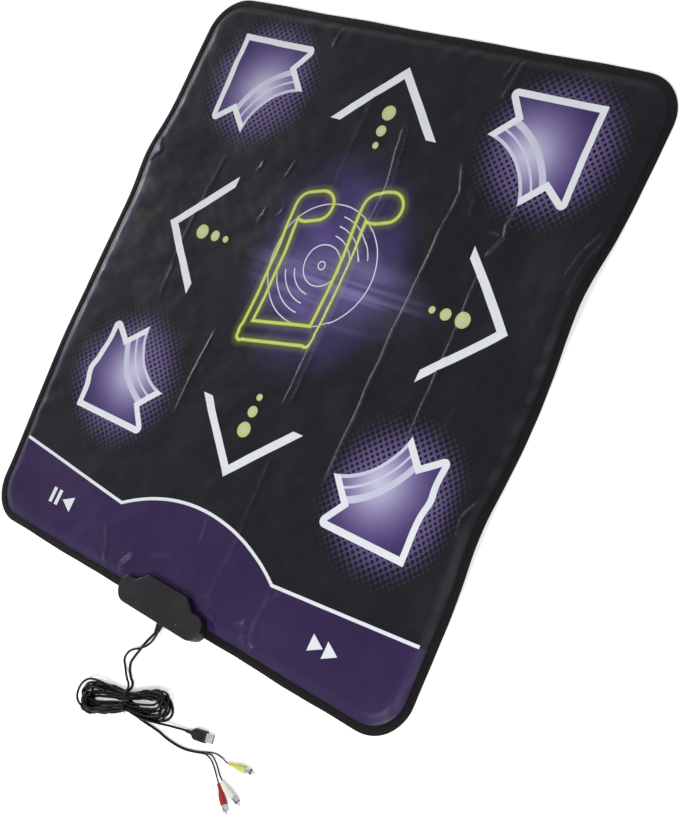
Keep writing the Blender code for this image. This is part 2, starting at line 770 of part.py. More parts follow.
def box_bottom_shell():
    """Lower half of the housing, with a thin lip under the mat, bosses and board pegs."""
    rings = [
        box_ring(BOX_FOOT_CHAMFER, 0.0),
        box_ring(0.0, BOX_FOOT_CHAMFER),
        box_ring(0.0, BOX_PARTING_HEIGHT),
    ]
    shell = loft("box_bottom_shell", rings)
    top = BOX_PARTING_HEIGHT + CUT_PAST
    cavity = rounded(mouth_corners())
    cut(shell, loft("bottom_shell_cavity", [[(x, y, z) for x, y in cavity] for z in (BOX_FLOOR, top)]))
    for number, place in enumerate(screw_places()):
        radius = SCREW_HEAD_RADIUS + GAP + BOSS_WALL
        height = BOX_PARTING_HEIGHT
        join(shell, upright_cylinder(f"boss_{number}", radius, BOX_FLOOR / 2, height, place))
        sink = SCREW_HEAD_RADIUS + GAP
        depth = SCREW_HEAD_DEPTH
        cut(shell, upright_cylinder(f"head_sink_{number}", sink, -CUT_PAST, depth, place))
        cut(shell, upright_cylinder(f"screw_hole_{number}", SCREW_RADIUS + GAP, 0.0, top, place))
    for side in (-1, 1):
        place = (side * BOARD_PEG_X, BOARD_BACK + BOARD_PEG_INSET)
        peg_top = BOARD_TOP + 2 * GAP
        join(shell, upright_cylinder(f"peg_{side}", BOARD_PEG_RADIUS, BOX_FLOOR / 2, peg_top, place, 12))
    reach = KNOB_WIDTH / 2 + GAP
    knob_z = ON_BOARD + SWITCH_HEIGHT / 2
    half_height = KNOB_HEIGHT / 2 + GAP
    low = (SWITCH_X - reach, FRONT_WALL_INSIDE - CUT_PAST, knob_z - half_height)
    high = (SWITCH_X + SWITCH_TRAVEL + reach, BOX_FRONT + CUT_PAST, knob_z + half_height)
    cut(shell, block("switch_slot", low, high))
    cut(shell, cord_hole("bottom_cord_hole"))
    return finish(shell, (0.060, 0.060, 0.065), 0.55)


def case_screws():
    """Four screws driven up from below into the top shell's bosses."""
    shoulder = SCREW_HEAD_DEPTH - GAP
    tip = shoulder + SCREW_LENGTH
    profile = [
        (0.0, tip),
        (SCREW_RADIUS * 0.4, tip),
        (SCREW_RADIUS, tip - SCREW_RADIUS),
        (SCREW_RADIUS, shoulder),
        (SCREW_HEAD_RADIUS, shoulder),
        (SCREW_HEAD_RADIUS, shoulder - SCREW_HEAD_HEIGHT),
        (0.0, shoulder - SCREW_HEAD_HEIGHT),
    ]
    for number, place in enumerate(screw_places(), start=1):
        screw = turned(f"case_screw_{number}", profile, 12)
        screw.location.x = place[0]
        screw.location.y = place[1]
        low = (place[0] - SCREW_HEAD_RADIUS * 0.7, place[1] - SCREW_SLOT_WIDTH / 2, 0.0)
        top = shoulder - SCREW_HEAD_HEIGHT + SCREW_SLOT_DEPTH
        high = (place[0] + SCREW_HEAD_RADIUS * 0.7, place[1] + SCREW_SLOT_WIDTH / 2, top)
        cut(screw, block(f"driver_slot_{number}", low, high))
        finish(screw, (0.55, 0.55, 0.57), 0.3, 1.0)


def board_and_strip():
    """The circuit board between the two film tails, and the strip that presses them on it."""
    centre = (0.0, BOARD_BACK + BOARD_DEPTH / 2)
    edge = rounded(rectangle(BOARD_WIDTH, BOARD_DEPTH, MIN_RADIUS, centre), 2)
    holes = []
    for side in (-1, 1):
        x = side * BOARD_PEG_X
        y = BOARD_BACK + BOARD_PEG_INSET
        radius = BOARD_PEG_RADIUS + GAP
        angles = [2 * math.pi * k / 12 for k in range(12)]
        holes.append([(x + radius * math.cos(a), y + radius * math.sin(a)) for a in angles])
    board = plate("circuit_board", [edge] + holes, BOARD_Z, BOARD_THICKNESS)
    finish(board, (0.03, 0.16, 0.07), 0.4)
    size = (TAIL_WIDTH, STRIP_DEPTH)
    outline = rounded(rectangle(size[0], size[1], MIN_RADIUS, (0.0, STRIP_Y)), 2)
    strip = plate("contact_pressure_strip", [outline], UPPER_FILM_Z + FILM_THICKNESS + GAP, STRIP_HEIGHT)
    finish(strip, (0.55, 0.53, 0.50), 0.9)


def control_chip():
    """The controller chip, a chamfered block on the board."""
    y = BOARD_BACK + BOARD_DEPTH - CHIP_DEPTH
    corners = rectangle(CHIP_WIDTH, CHIP_DEPTH, CHIP_CHAMFER, (CHIP_X, y))
    top = ON_BOARD + CHIP_HEIGHT
    rings = []
    for inset, height in ((0.0, ON_BOARD), (0.0, top - CHIP_CHAMFER), (CHIP_CHAMFER, top)):
        plan = inset_corners(corners, inset) if inset else corners
        rings.append([(px, py, height) for px, py in rounded(plan, 2)])
    finish(loft("control_chip", rings), (0.02, 0.02, 0.02), 0.5)


def power_light():
    """The small lamp in the roof and the spacer that holds it up from the board."""
    place = (LIGHT_X, BOX_FRONT - LIGHT_INSET)
    top = BOX_HEIGHT + LIGHT_PROUD
    dome = LIGHT_RADIUS * 0.8
    flange_bottom = BOX_HEIGHT - BOX_ROOF - GAP - LIGHT_BODY_HEIGHT / 2
    flange_top = flange_bottom + LIGHT_BODY_HEIGHT / 4
    profile = [(0.0, top)]
    for step in range(1, 4):
        angle = math.pi / 2 * step / 3
        profile.append((LIGHT_RADIUS * math.sin(angle), top - dome + dome * math.cos(angle)))
    profile += [
        (LIGHT_RADIUS, flange_top),
        (LIGHT_FLANGE_RADIUS, flange_top),
        (LIGHT_FLANGE_RADIUS, flange_bottom),
        (0.0, flange_bottom),
    ]
    lamp = turned("power_light", profile, 12)
    lamp.location.x = place[0]
    lamp.location.y = place[1]
    finish(lamp, (0.12, 0.02, 0.02), 0.2)
    radius = LIGHT_FLANGE_RADIUS
    spacer = upright_cylinder("light_spacer", radius, ON_BOARD, flange_bottom - GAP, place, 12)
    finish(spacer, (0.03, 0.03, 0.03), 0.6)


def mode_switch():
    """The slide switch behind the front wall; its knob moves along X in a slot."""
    front = FRONT_WALL_INSIDE - GAP
    half = SWITCH_WIDTH / 2
    middle = SWITCH_X + SWITCH_TRAVEL / 2
    low = (middle - half, front - SWITCH_DEPTH, ON_BOARD)
    body = block("switch_body", low, (middle + half, front, ON_BOARD + SWITCH_HEIGHT))
    knob_z = ON_BOARD + SWITCH_HEIGHT / 2
    reach = KNOB_WIDTH / 2 + GAP
    half_height = KNOB_HEIGHT / 2 + GAP
    low = (SWITCH_X - reach, front - KNOB_ROOT - GAP, knob_z - half_height)
    high = (SWITCH_X + SWITCH_TRAVEL + reach, front + CUT_PAST, knob_z + half_height)
    cut(body, block("switch_body_slot", low, high))
    finish(body, (0.45, 0.45, 0.47), 0.35, 1.0)
    knob_root = Vector((SWITCH_X, front - KNOB_ROOT, knob_z))
    length = BOX_FRONT + KNOB_PROUD - knob_root.y
    low = (-KNOB_WIDTH / 2, 0.0, -KNOB_HEIGHT / 2)
    knob = block("switch_knob", low, (KNOB_WIDTH / 2, length, KNOB_HEIGHT / 2))
    bevel = knob.modifiers.new("edges", "BEVEL")
    bevel.width = KNOB_HEIGHT / 6
    bevel.segments = 1
    knob.location = knob_root
    finish(knob, (0.02, 0.02, 0.02), 0.5)


def cord_boot():
    """The ribbed oval boot in the front wall, which both cords leave."""
    inside = FRONT_WALL_INSIDE - GAP
    outside = BOX_FRONT + GAP
    stations = [
        (inside - BOOT_FLANGE_THICKNESS, BOOT_FLANGE_HALF_WIDTH),
        (inside, BOOT_FLANGE_HALF_WIDTH),
        (inside, BOOT_NECK_HALF_WIDTH),
        (outside, BOOT_NECK_HALF_WIDTH),
        (outside, BOOT_ROOT_HALF_WIDTH),
    ]
    pitch = BOOT_LENGTH / (2 * BOOT_RIB_COUNT + 1)
    for step in range(1, 2 * BOOT_RIB_COUNT + 2):
        share = step / (2 * BOOT_RIB_COUNT + 1)
        width = BOOT_ROOT_HALF_WIDTH + (BOOT_TIP_HALF_WIDTH - BOOT_ROOT_HALF_WIDTH) * share
        y = outside + pitch * step
        depth = BOOT_RIB_DEPTH if step % 2 == 0 else 0.0
        stations += [(y - pitch * 0.8, width - depth), (y, width - depth)]
    profile = [(0.0, stations[-1][0])]
    profile += [(width, y) for y, width in reversed(stations)]
    profile.append((0.0, stations[0][0]))
    boot = turned("cord_boot", profile, 20)
    boot.matrix_world = (
        Matrix.Translation((BOOT_X, 0.0, BOOT_Z))
        @ Matrix.Rotation(-math.pi / 2, 4, "X")
        @ Matrix.Diagonal((1.0, BOOT_FLATNESS, 1.0, 1.0))
    )
    return finish(boot, (0.015, 0.015, 0.017), 0.7)


# Cords


def hank_place(turn, side_offset, waist_half):
    """Point of the bow-shaped loop at a share of a turn, moved outwards, in the hank's own frame."""
    half = HANK_LOBE_SPACING / 2
    lobe = HANK_LOBE_RADIUS
    share = turn % 1.0
    flipped = 1.0 if share <= 0.5 else -1.0
    local = share if share <= 0.5 else share - 0.5
    if 0.125 <= local <= 0.375:
        angle = math.pi * (local - 0.125) / 0.25
        point = Vector((-half - lobe * math.sin(angle), -lobe * math.cos(angle)))
        normal = Vector((-math.sin(angle), -math.cos(angle)))
    else:
        near = local if local < 0.125 else 0.5 - local
        side = -1.0 if local < 0.125 else 1.0
        reach = near / 0.125
        ease = reach * reach * (3 - 2 * reach)
        slope = (lobe - waist_half) * 6 * reach * (1 - reach) / half
        point = Vector((-half * reach, side * (waist_half + (lobe - waist_half) * ease)))
        normal = Vector((slope, side)).normalized()
    return (point + normal * side_offset) * flipped


def waist_lift(along):
    """How far the strands rise over the tie at a distance along the hank from its middle."""
    reach = min(1.0, abs(along) / (HANK_LOBE_SPACING / 2))
    return HANK_WAIST_LIFT * (1 - reach * reach * (3 - 2 * reach))


def hank_to_world(point):
    """From the hank's own frame to the floor plan."""
    cos, sin = math.cos(HANK_HEADING), math.sin(HANK_HEADING)
    u, v, z = point
    x = HANK_CENTRE[0] + u * cos + v * sin
    y = BOX_FRONT + HANK_CENTRE[1] + u * sin - v * cos
    return Vector((x, y, z))


def hank_loops(diameter, base, first_turn, last_turn):
    """A cord's spiral in its lower layer and out again in its upper one, in the hank's frame."""
    pitch = diameter + HANK_STRAND_GAP
    layer = diameter + HANK_LAYER_GAP
    waist = pitch / 2 + HANK_WAIST_MARGIN
    points = []
    for k in range(math.ceil(first_turn * LOOP_POINTS), math.floor(last_turn * LOOP_POINTS) + 1):
        turn = k / LOOP_POINTS
        offset = pitch * abs(turn - HANK_TURNS_IN)
        climb = min(1.0, max(0.0, (turn - HANK_TURNS_IN + 0.25) / 0.5))
        height = base + layer * climb * climb * (3 - 2 * climb)
        place = hank_place(turn, offset, waist)
        points.append(Vector((place.x, place.y, height + waist_lift(place.x))))
    return points


def av_hank_base():
    """Height of the AV cord's lower layer."""
    return AV_CORD_DIAMETER / 2 + CORD_FLOOR_CLEARANCE


def usb_hank_base():
    """Height of the USB cord's lower layer, which lies on the AV cord's upper one."""
    upper_av = av_hank_base() + AV_CORD_DIAMETER + HANK_LAYER_GAP
    return upper_av + (AV_CORD_DIAMETER + USB_CORD_DIAMETER) / 2 + HANK_LAYER_GAP


def av_hank_points():
    """The AV cord's loops with the short runs that lead in and out of them."""
    base = av_hank_base()
    upper = base + AV_CORD_DIAMETER + HANK_LAYER_GAP
    lifted = base + HANK_WAIST_LIFT
    lead_in = [
        (-0.0036, -0.0430, base),
        (-0.0022, -0.0394, base),
        (0.0006, -0.0332, base),
        (0.0042, -0.0274, base + 0.0002),
        (0.0063, -0.0218, base + 0.0007),
        (0.0053, -0.0179, base + 0.0011),
        (0.0024, -0.0150, lifted),
        (-0.0015, -0.0140, lifted),
    ]
    loops = hank_loops(AV_CORD_DIAMETER, base, 1 / LOOP_POINTS, HANK_TURNS)
    lead_out = [
        (0.0140, 0.0188, upper + HANK_WAIST_LIFT / 2),
        (0.0280, 0.0223, upper - 0.0010),
        (0.0400, 0.0252, base + 0.0012),
        (0.0500, 0.0282, base),
        (0.0536, 0.0296, base),
    ]
    return [Vector(p) for p in lead_in] + loops + [Vector(p) for p in lead_out]


def usb_hank_points():
    """The USB cord's loops with the short runs that lead in and out of them."""
    base = usb_hank_base()
    upper = base + USB_CORD_DIAMETER + HANK_LAYER_GAP
    floor = USB_CORD_DIAMETER / 2 + CORD_FLOOR_CLEARANCE
    lifted = base + HANK_WAIST_LIFT
    lead_in = [
        (-0.0126, -0.0460, floor + 0.0002),
        (-0.0109, -0.0432, floor + 0.0010),
        (-0.0070, -0.0372, floor + 0.0029),
        (-0.0026, -0.0312, floor + 0.0052),
        (0.0014, -0.0262, floor + 0.0072),
        (0.0041, -0.0220, floor + 0.0088),
        (0.0051, -0.0188, lifted - 0.0005),
        (0.0042, -0.0155, lifted),
        (0.0018, -0.0131, lifted),
        (-0.0015, -0.0122, lifted),
    ]
    loops = hank_loops(USB_CORD_DIAMETER, base, 1 / LOOP_POINTS, HANK_TURNS + 0.125)
    lead_out = [
        (0.0660, 0.0238, upper - 0.0004),
        (0.0760, 0.0243, upper - 0.0024),
        (0.0845, 0.0250, upper - 0.0055),
        (0.0877, 0.0253, upper - 0.0069),
    ]
    return [Vector(p) for p in lead_in] + loops + [Vector(p) for p in lead_out]


def least_gap(points, diameter):
    """Least distance between a tube's surfaces where it passes itself, from points along it."""
    fine = []
    for a, b in zip(points, points[1:]):
        count = max(1, math.ceil((b - a).length / (diameter / 4)))
        fine += [a.lerp(b, k / count) for k in range(count)]
    fine.append(points[-1])
    places = np.array([tuple(p) for p in fine])
    run = np.concatenate([[0.0], np.cumsum(np.linalg.norm(np.diff(places, axis=0), axis=1))])
    least = math.inf
    for k in range(len(places)):
        apart = run - run[k] > 4 * diameter
        if apart.any():
            least = min(least, float(np.linalg.norm(places[apart] - places[k], axis=1).min()))
    return least - diameter


def shared_gap(points, others, diameter, other_diameter):
    """Least distance between the surfaces of two tubes, from points along them."""
    def dense(route, step):
        fine = [a.lerp(b, k / 6) for a, b in zip(route, route[1:]) for k in range(6)]
        return np.array([tuple(p) for p in fine + [route[-1]]])

    first = dense(points, diameter)
    second = dense(others, other_diameter)
    apart = min(float(np.linalg.norm(second - p, axis=1).min()) for p in first)
    return apart - (diameter + other_diameter) / 2


def stub(points, at_end, diameter):
    """The end of a tube and the point a gap past it, where the next piece begins."""
    tip = points[-1] if at_end else points[0]
    inner = points[-2] if at_end else points[1]
    heading = (tip - inner).normalized()
    start = tip + heading * GAP
    return start, start + heading * diameter


def cord_piece(name, start, route, end, diameter, colour):
    """A free stretch of cord: straight for a diameter at each end, smooth in between."""
    first, first_out = start
    last, last_out = end
    between = [in_front(p) for p in route]
    points, _ = smooth_route([first_out] + between + [last_out], CORD_STEP * diameter)
    floor = diameter / 2 + CORD_FLOOR_CLEARANCE
    whole = [first] + [Vector((p.x, p.y, max(p.z, floor))) for p in points] + [last]
    length = sum((b - a).length for a, b in zip(whole, whole[1:]))
    finish(tube(name, whole, diameter), colour, 0.5)
    return whole, length


def cord_colour():
    return (0.012, 0.012, 0.014)


def plug_frame(place, heading):
    """Place and turn of a plug whose own +X points out of its grip."""
    return Matrix.Translation(in_front(place)) @ Matrix.Rotation(heading, 4, "Z")


def rca_frame(colour):
    """Frame of one RCA plug lying on the floor."""
    (x, y), heading, _ = RCA_PLUGS[colour]
    return plug_frame((x, y, RCA_GRIP_RADIUS + CORD_FLOOR_CLEARANCE), heading)


def frame_stub(frame, diameter):
    """Where a cord meets the back of a plug, and the point a diameter before it."""
    first = frame @ Vector((-GAP, 0.0, 0.0))
    second = frame @ Vector((-GAP - diameter, 0.0, 0.0))
    return first, second


def boot_stub(side, diameter):
    """Where a cord leaves the boot, and the point a diameter past it."""
    x = BOOT_X + side * BOOT_CORD_SPACING / 2
    y = BOX_FRONT + GAP + BOOT_LENGTH + GAP
    return Vector((x, y, BOOT_Z)), Vector((x, y + diameter, BOOT_Z))


def hank_tie():
    """The flat tie round the hank's waist, drawn round the strands that pass through it."""
    low, high, top = 0.0, 0.0, 0.0
    for diameter, base in ((AV_CORD_DIAMETER, av_hank_base()), (USB_CORD_DIAMETER, usb_hank_base())):
        strands = hank_loops(diameter, base, 0.0, HANK_TURNS)
        for a, b in zip(strands, strands[1:]):
            for k in range(8):
                p = a.lerp(b, k / 8)
                if abs(p.x - TIE_PLACE) < TIE_WIDTH:
                    low = min(low, p.y - diameter / 2)
                    high = max(high, p.y + diameter / 2)
                    top = max(top, p.z + diameter / 2)
    reach = GAP + TIE_THICKNESS
    height = top + reach
    outer = rectangle(high - low + 2 * reach, height, 3 * TIE_THICKNESS, ((high + low) / 2, height / 2))
    inner = inset_corners(outer, TIE_THICKNESS)
    tie = plate("hank_tie", [rounded(outer, 3), rounded(inner, 3)], -TIE_WIDTH / 2, TIE_WIDTH)
    origin = hank_to_world((TIE_PLACE, 0.0, 0.0))
    across = hank_to_world((TIE_PLACE, 1.0, 0.0)) - origin
    upwards = Vector((0.0, 0.0, 1.0))
    turn = Matrix((across, upwards, across.cross(upwards))).transposed().to_4x4()
    tie.matrix_world = Matrix.Translation(origin) @ turn
    return finish(tie, (0.02, 0.02, 0.02), 0.6)


def board_wires(name, side):
    """A cord's bare wires, bundled, from the inside of the boot down to the circuit board."""
    bundle = WIRE_BUNDLE_DIAMETER
    inside = FRONT_WALL_INSIDE - GAP - BOOT_FLANGE_THICKNESS - GAP
    x = BOOT_X + side * BOOT_CORD_SPACING / 2
    first = Vector((x, inside, BOOT_Z))
    drop_x = BOOT_X + side * WIRE_SPACING / 2
    last = Vector((drop_x, inside - WIRE_DROP_Y, ON_BOARD))
    first_out = first - Vector((0.0, bundle, 0.0))
    last_out = last + Vector((0.0, 0.0, bundle / 2))
    bend = (first_out + last_out) / 2 + Vector((0.0, -bundle / 2, bundle / 2))
    middle = [(bend.x, bend.y - BOX_FRONT, bend.z)]
    cord_piece(name, (first, first_out), middle, (last, last_out), bundle, (0.35, 0.03, 0.02))


def cords():
    """Both cords from the boot through the hank to their plugs."""
    black = cord_colour()
    av_local = av_hank_points()
    usb_local = usb_hank_points()
    av_hank = [hank_to_world(p) for p in av_local]
    usb_hank = [hank_to_world(p) for p in usb_local]
    finish(tube("av_cord_hank", av_hank, AV_CORD_DIAMETER, 1), black, 0.5)
    finish(tube("usb_cord_hank", usb_hank, USB_CORD_DIAMETER, 1), black, 0.5)
    hank_tie()
    av_in = stub(av_hank, False, AV_CORD_DIAMETER)
    av_out = stub(av_hank, True, AV_CORD_DIAMETER)
    usb_in = stub(usb_hank, False, USB_CORD_DIAMETER)
    usb_out = stub(usb_hank, True, USB_CORD_DIAMETER)

    usb_start = boot_stub(-1, USB_CORD_DIAMETER)
    av_start = boot_stub(1, AV_CORD_DIAMETER)
    usb_lead, usb_a = cord_piece(
        "usb_cord_lead", usb_start, USB_LEAD_ROUTE, usb_in, USB_CORD_DIAMETER, black
    )
    av_lead, av_a = cord_piece("av_cord_lead", av_start, AV_LEAD_ROUTE, av_in, AV_CORD_DIAMETER, black)

    board_wires("usb_board_wires", -1)
    board_wires("av_board_wires", 1)

    usb_frame = plug_frame(USB_PLUG_PLACE, USB_PLUG_HEADING)
    usb_end = frame_stub(usb_frame, USB_CORD_DIAMETER)
    _, usb_b = cord_piece("usb_cord_tail", usb_out, USB_TAIL_ROUTE, usb_end, USB_CORD_DIAMETER, black)

    heading = Vector((math.cos(AV_TAIL_HEADING), math.sin(AV_TAIL_HEADING), 0.0))
    av_last = in_front(AV_TAIL_END)
    av_end = (av_last, av_last - heading * AV_CORD_DIAMETER)
    _, av_b = cord_piece("av_cord_tail", av_out, AV_TAIL_ROUTE, av_end, AV_CORD_DIAMETER, black)

    side = Vector((-heading.y, heading.x, 0.0))
    spots = {
        "yellow": side * (0.87 * BRANCH_SPREAD) + Vector((0.0, 0.0, -0.5 * BRANCH_SPREAD)),
        "white": side * (-0.87 * BRANCH_SPREAD) + Vector((0.0, 0.0, -0.5 * BRANCH_SPREAD)),
        "red": Vector((0.0, 0.0, BRANCH_SPREAD)),
    }
    branches = {}
    for colour, offset in spots.items():
        first = av_last + heading * GAP + offset
        start = (first, first + heading * BRANCH_CORD_DIAMETER)
        end = frame_stub(rca_frame(colour), BRANCH_CORD_DIAMETER)
        name = f"{colour}_branch_cord"
        branches[colour] = cord_piece(
            name, start, BRANCH_ROUTES[colour], end, BRANCH_CORD_DIAMETER, black
        )[1]

    av_run = sum((b - a).length for a, b in zip(av_hank, av_hank[1:]))
    usb_run = sum((b - a).length for a, b in zip(usb_hank, usb_hank[1:]))
    av_gap = least_gap(av_hank, AV_CORD_DIAMETER) * 1000
    usb_gap = least_gap(usb_hank, USB_CORD_DIAMETER) * 1000
    print(f"AV hank: length {av_run:.3f} m, least self-gap {av_gap:.2f} mm")
    print(f"USB hank: length {usb_run:.3f} m, least self-gap {usb_gap:.2f} mm")
    between = shared_gap(av_hank, usb_hank, AV_CORD_DIAMETER, USB_CORD_DIAMETER)
    print(f"Least gap between the two hanks {between*1000:.2f} mm")
    print(f"USB cord {usb_a + usb_run + usb_b:.3f} m, AV cord {av_a + av_run + av_b:.3f} m")
    print("Branches " + ", ".join(f"{c} {l:.3f} m" for c, l in branches.items()))
    leads = shared_gap(av_lead, usb_lead, AV_CORD_DIAMETER, USB_CORD_DIAMETER)
    print(f"Least gap between the leads {leads*1000:.2f} mm")


# Plugs


def section(x, width, height, segments=3):
    """A rounded cross-section of a plug at a distance along it."""
    radius = min(width, height) * 0.3
    return [(x, y, z) for y, z in rounded(rectangle(width, height, radius), segments)]


def usb_plug():
    """The USB plug: moulded grip, sheet metal shell with its two windows, and contact tongue."""
    frame = plug_frame(USB_PLUG_PLACE, USB_PLUG_HEADING)
    neck = USB_NECK_DIAMETER
    shoulder = USB_NECK_LENGTH * 1.6
    rings = [
        section(0.0, neck * 0.9, neck * 0.9),
        section(USB_NECK_LENGTH, neck, neck),
        section(shoulder, USB_GRIP_WIDTH * 0.86, USB_GRIP_HEIGHT * 0.9),
        section(shoulder + USB_NECK_LENGTH / 3, USB_GRIP_WIDTH, USB_GRIP_HEIGHT),
        section(USB_GRIP_LENGTH, USB_GRIP_WIDTH, USB_GRIP_HEIGHT),
    ]
    grip = loft("usb_plug_grip", rings)
    depth = USB_GRIP_LENGTH - USB_SHELL_SEAT - GAP
    half_width = USB_SHELL_WIDTH / 2 + GAP
    half_height = USB_SHELL_HEIGHT / 2 + GAP
    low = (depth, -half_width, -half_height)
    pocket = block("usb_pocket", low, (USB_GRIP_LENGTH + CUT_PAST, half_width, half_height))
    pocket.matrix_world = frame
    cut(grip, pocket)
    grip.matrix_world = frame
    finish(grip, (0.02, 0.02, 0.022), 0.5)

    start = USB_GRIP_LENGTH - USB_SHELL_SEAT
    length = USB_SHELL_SEAT + USB_SHELL_REACH
    outer = rectangle(USB_SHELL_WIDTH, USB_SHELL_HEIGHT, USB_SHELL_WALL * 1.5)
    inner = inset_corners(outer, USB_SHELL_WALL)
    rings = []
    for x in (start, start + length):
        rings.append([(x, y, z) for y, z in rounded(outer, 2)])
    shell = loft("usb_plug_shell", rings)
    ends = (start - CUT_PAST, start + length + CUT_PAST)
    hollow = loft("usb_shell_hollow", [[(x, y, z) for y, z in rounded(inner, 2)] for x in ends])
    hollow.matrix_world = frame
    cut(shell, hollow)
    half = USB_WINDOW_SIZE / 2
    middle = USB_GRIP_LENGTH + USB_SHELL_REACH * 0.45
    for side in (-1, 1):
        y = side * USB_WINDOW_SPACING / 2
        low = (middle - half, y - half, 0.0)
        window = block(f"usb_window_{side}", low, (middle + half, y + half, USB_SHELL_HEIGHT))
        window.matrix_world = frame
        cut(shell, window)
    shell.matrix_world = frame
    finish(shell, (0.75, 0.75, 0.76), 0.25, 1.0)

    ceiling = USB_SHELL_HEIGHT / 2 - USB_SHELL_WALL - GAP
    low = (start, -USB_TONGUE_WIDTH / 2, ceiling - USB_TONGUE_HEIGHT)
    tip = start + length - USB_TONGUE_SETBACK
    tongue = block("usb_plug_tongue", low, (tip, USB_TONGUE_WIDTH / 2, ceiling))
    tongue.matrix_world = frame
    finish(tongue, (0.85, 0.85, 0.83), 0.5)


def along_x(obj, frame):
    """Lay a piece that was turned about Z along a plug's own X axis."""
    obj.matrix_world = frame @ Matrix.Rotation(math.pi / 2, 4, "Y")
    return obj


def rca_plug(colour):
    """One RCA plug: tapered grip, slotted shield ring, insulator and centre pin."""
    frame = rca_frame(colour)
    tint = RCA_PLUGS[colour][2]
    length = RCA_GRIP_LENGTH
    seat = RCA_RING_RADIUS + GAP
    floor = length - RCA_RING_SEAT - GAP
    profile = [
        (seat, length),
        (RCA_GRIP_RADIUS * 0.95, length),
        (RCA_GRIP_RADIUS, length * 0.97),
        (RCA_GRIP_RADIUS, length * 0.72),
        (RCA_GRIP_RADIUS * 0.88, length * 0.52),
        (RCA_GRIP_RADIUS * 0.66, length * 0.38),
        (RCA_NECK_RADIUS * 1.12, RCA_NECK_LENGTH),
        (RCA_NECK_RADIUS, 0.0),
        (0.0, 0.0),
    ]
    grip = turned(f"{colour}_plug_grip", [(0.0, floor), (seat, floor)] + profile)
    finish(smooth(along_x(grip, frame), 40.0), tint, 0.35)

    back = length - RCA_RING_SEAT
    front = length + RCA_RING_REACH
    inside = RCA_RING_RADIUS - RCA_RING_WALL
    outside = RCA_RING_RADIUS
    profile = [(inside, front), (outside, front), (outside, back), (inside, back)]
    ring = turned(f"{colour}_plug_ring", profile, closed=True)
    wide = RCA_RING_RADIUS + CUT_PAST
    slot = RCA_SLOT_WIDTH / 2
    for number, (x, y) in enumerate(((wide, slot), (slot, wide))):
        low = (-x, -y, front - RCA_SLOT_DEPTH)
        cutter = block(f"{colour}_ring_slot_{number}", low, (x, y, front + CUT_PAST))
        cut(ring, along_x(cutter, frame))
    finish(along_x(ring, frame), (0.78, 0.78, 0.80), 0.25, 1.0)

    pin_hole = RCA_PIN_RADIUS + GAP
    disc = inside - GAP
    top = length + RCA_INSULATOR_REACH
    profile = [(pin_hole, top), (disc, top), (disc, back), (pin_hole, back)]
    insulator = turned(f"{colour}_plug_insulator", profile, closed=True)
    finish(along_x(insulator, frame), (0.02, 0.02, 0.02), 0.5)

    tip = length + RCA_PIN_REACH
    pin = [
        (0.0, tip),
        (RCA_PIN_RADIUS * 0.6, tip - RCA_PIN_RADIUS * 0.2),
        (RCA_PIN_RADIUS, tip - RCA_PIN_RADIUS * 0.9),
        (RCA_PIN_RADIUS, back),
        (0.0, back),
    ]
    finish(smooth(along_x(turned(f"{colour}_plug_pin", pin, 12), frame)), (0.78, 0.78, 0.80), 0.2, 1.0)


def build():
    """Make the whole object."""
    clear_scene()
    cover_sheet()
    edge_binding()
    inner_layers()
    step_pads()
    bottom_sheet()
    box_top_shell()
    box_bottom_shell()
    case_screws()
    board_and_strip()
    control_chip()
    power_light()
    mode_switch()
    cord_boot()
    cords()
    usb_plug()
    for colour in RCA_PLUGS:
        rca_plug(colour)


build()
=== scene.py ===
"""Looks of a dance mat controller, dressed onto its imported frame.

Frame: metres, +Z up, origin on the floor under the middle of the mat, +Y towards the control box
and +X to the player's right.
"""

import logging
import math
from dataclasses import dataclass
from enum import Enum
from functools import reduce
from typing import Sequence

import bmesh
import bpy
import numpy as np
from mathutils import Matrix, Vector


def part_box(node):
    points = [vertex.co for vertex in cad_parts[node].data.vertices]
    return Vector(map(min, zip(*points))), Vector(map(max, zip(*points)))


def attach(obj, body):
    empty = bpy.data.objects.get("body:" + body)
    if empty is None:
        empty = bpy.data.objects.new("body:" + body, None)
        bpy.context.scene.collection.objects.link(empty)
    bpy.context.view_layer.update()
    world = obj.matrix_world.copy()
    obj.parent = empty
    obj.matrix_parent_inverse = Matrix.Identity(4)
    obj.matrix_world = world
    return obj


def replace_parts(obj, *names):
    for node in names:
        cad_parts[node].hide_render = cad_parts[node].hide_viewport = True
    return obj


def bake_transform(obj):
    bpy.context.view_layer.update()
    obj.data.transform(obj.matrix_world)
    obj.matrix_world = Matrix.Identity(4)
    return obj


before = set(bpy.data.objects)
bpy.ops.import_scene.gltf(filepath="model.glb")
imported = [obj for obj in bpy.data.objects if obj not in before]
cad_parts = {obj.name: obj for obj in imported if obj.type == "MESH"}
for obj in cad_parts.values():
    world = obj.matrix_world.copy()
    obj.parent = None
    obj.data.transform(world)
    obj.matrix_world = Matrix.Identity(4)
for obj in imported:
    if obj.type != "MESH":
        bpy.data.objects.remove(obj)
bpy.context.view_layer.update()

log = logging.getLogger("dance_mat")
MM = 0.001
WHITE = (1.0, 1.0, 1.0, 1.0)
STEPS = ("up", "down", "left", "right", "up_left", "up_right", "down_left", "down_right", "start", "back")
STEPS_Y = -75.0  # middle of the mat's eight big steps, in millimetres

Array = np.ndarray
Node = bpy.types.Node
Piece = bpy.types.Object
Socket = bpy.types.NodeSocket
Pair = tuple[float, float]
Triple = tuple[float, float, float]
Inputs = dict[str | int, object]


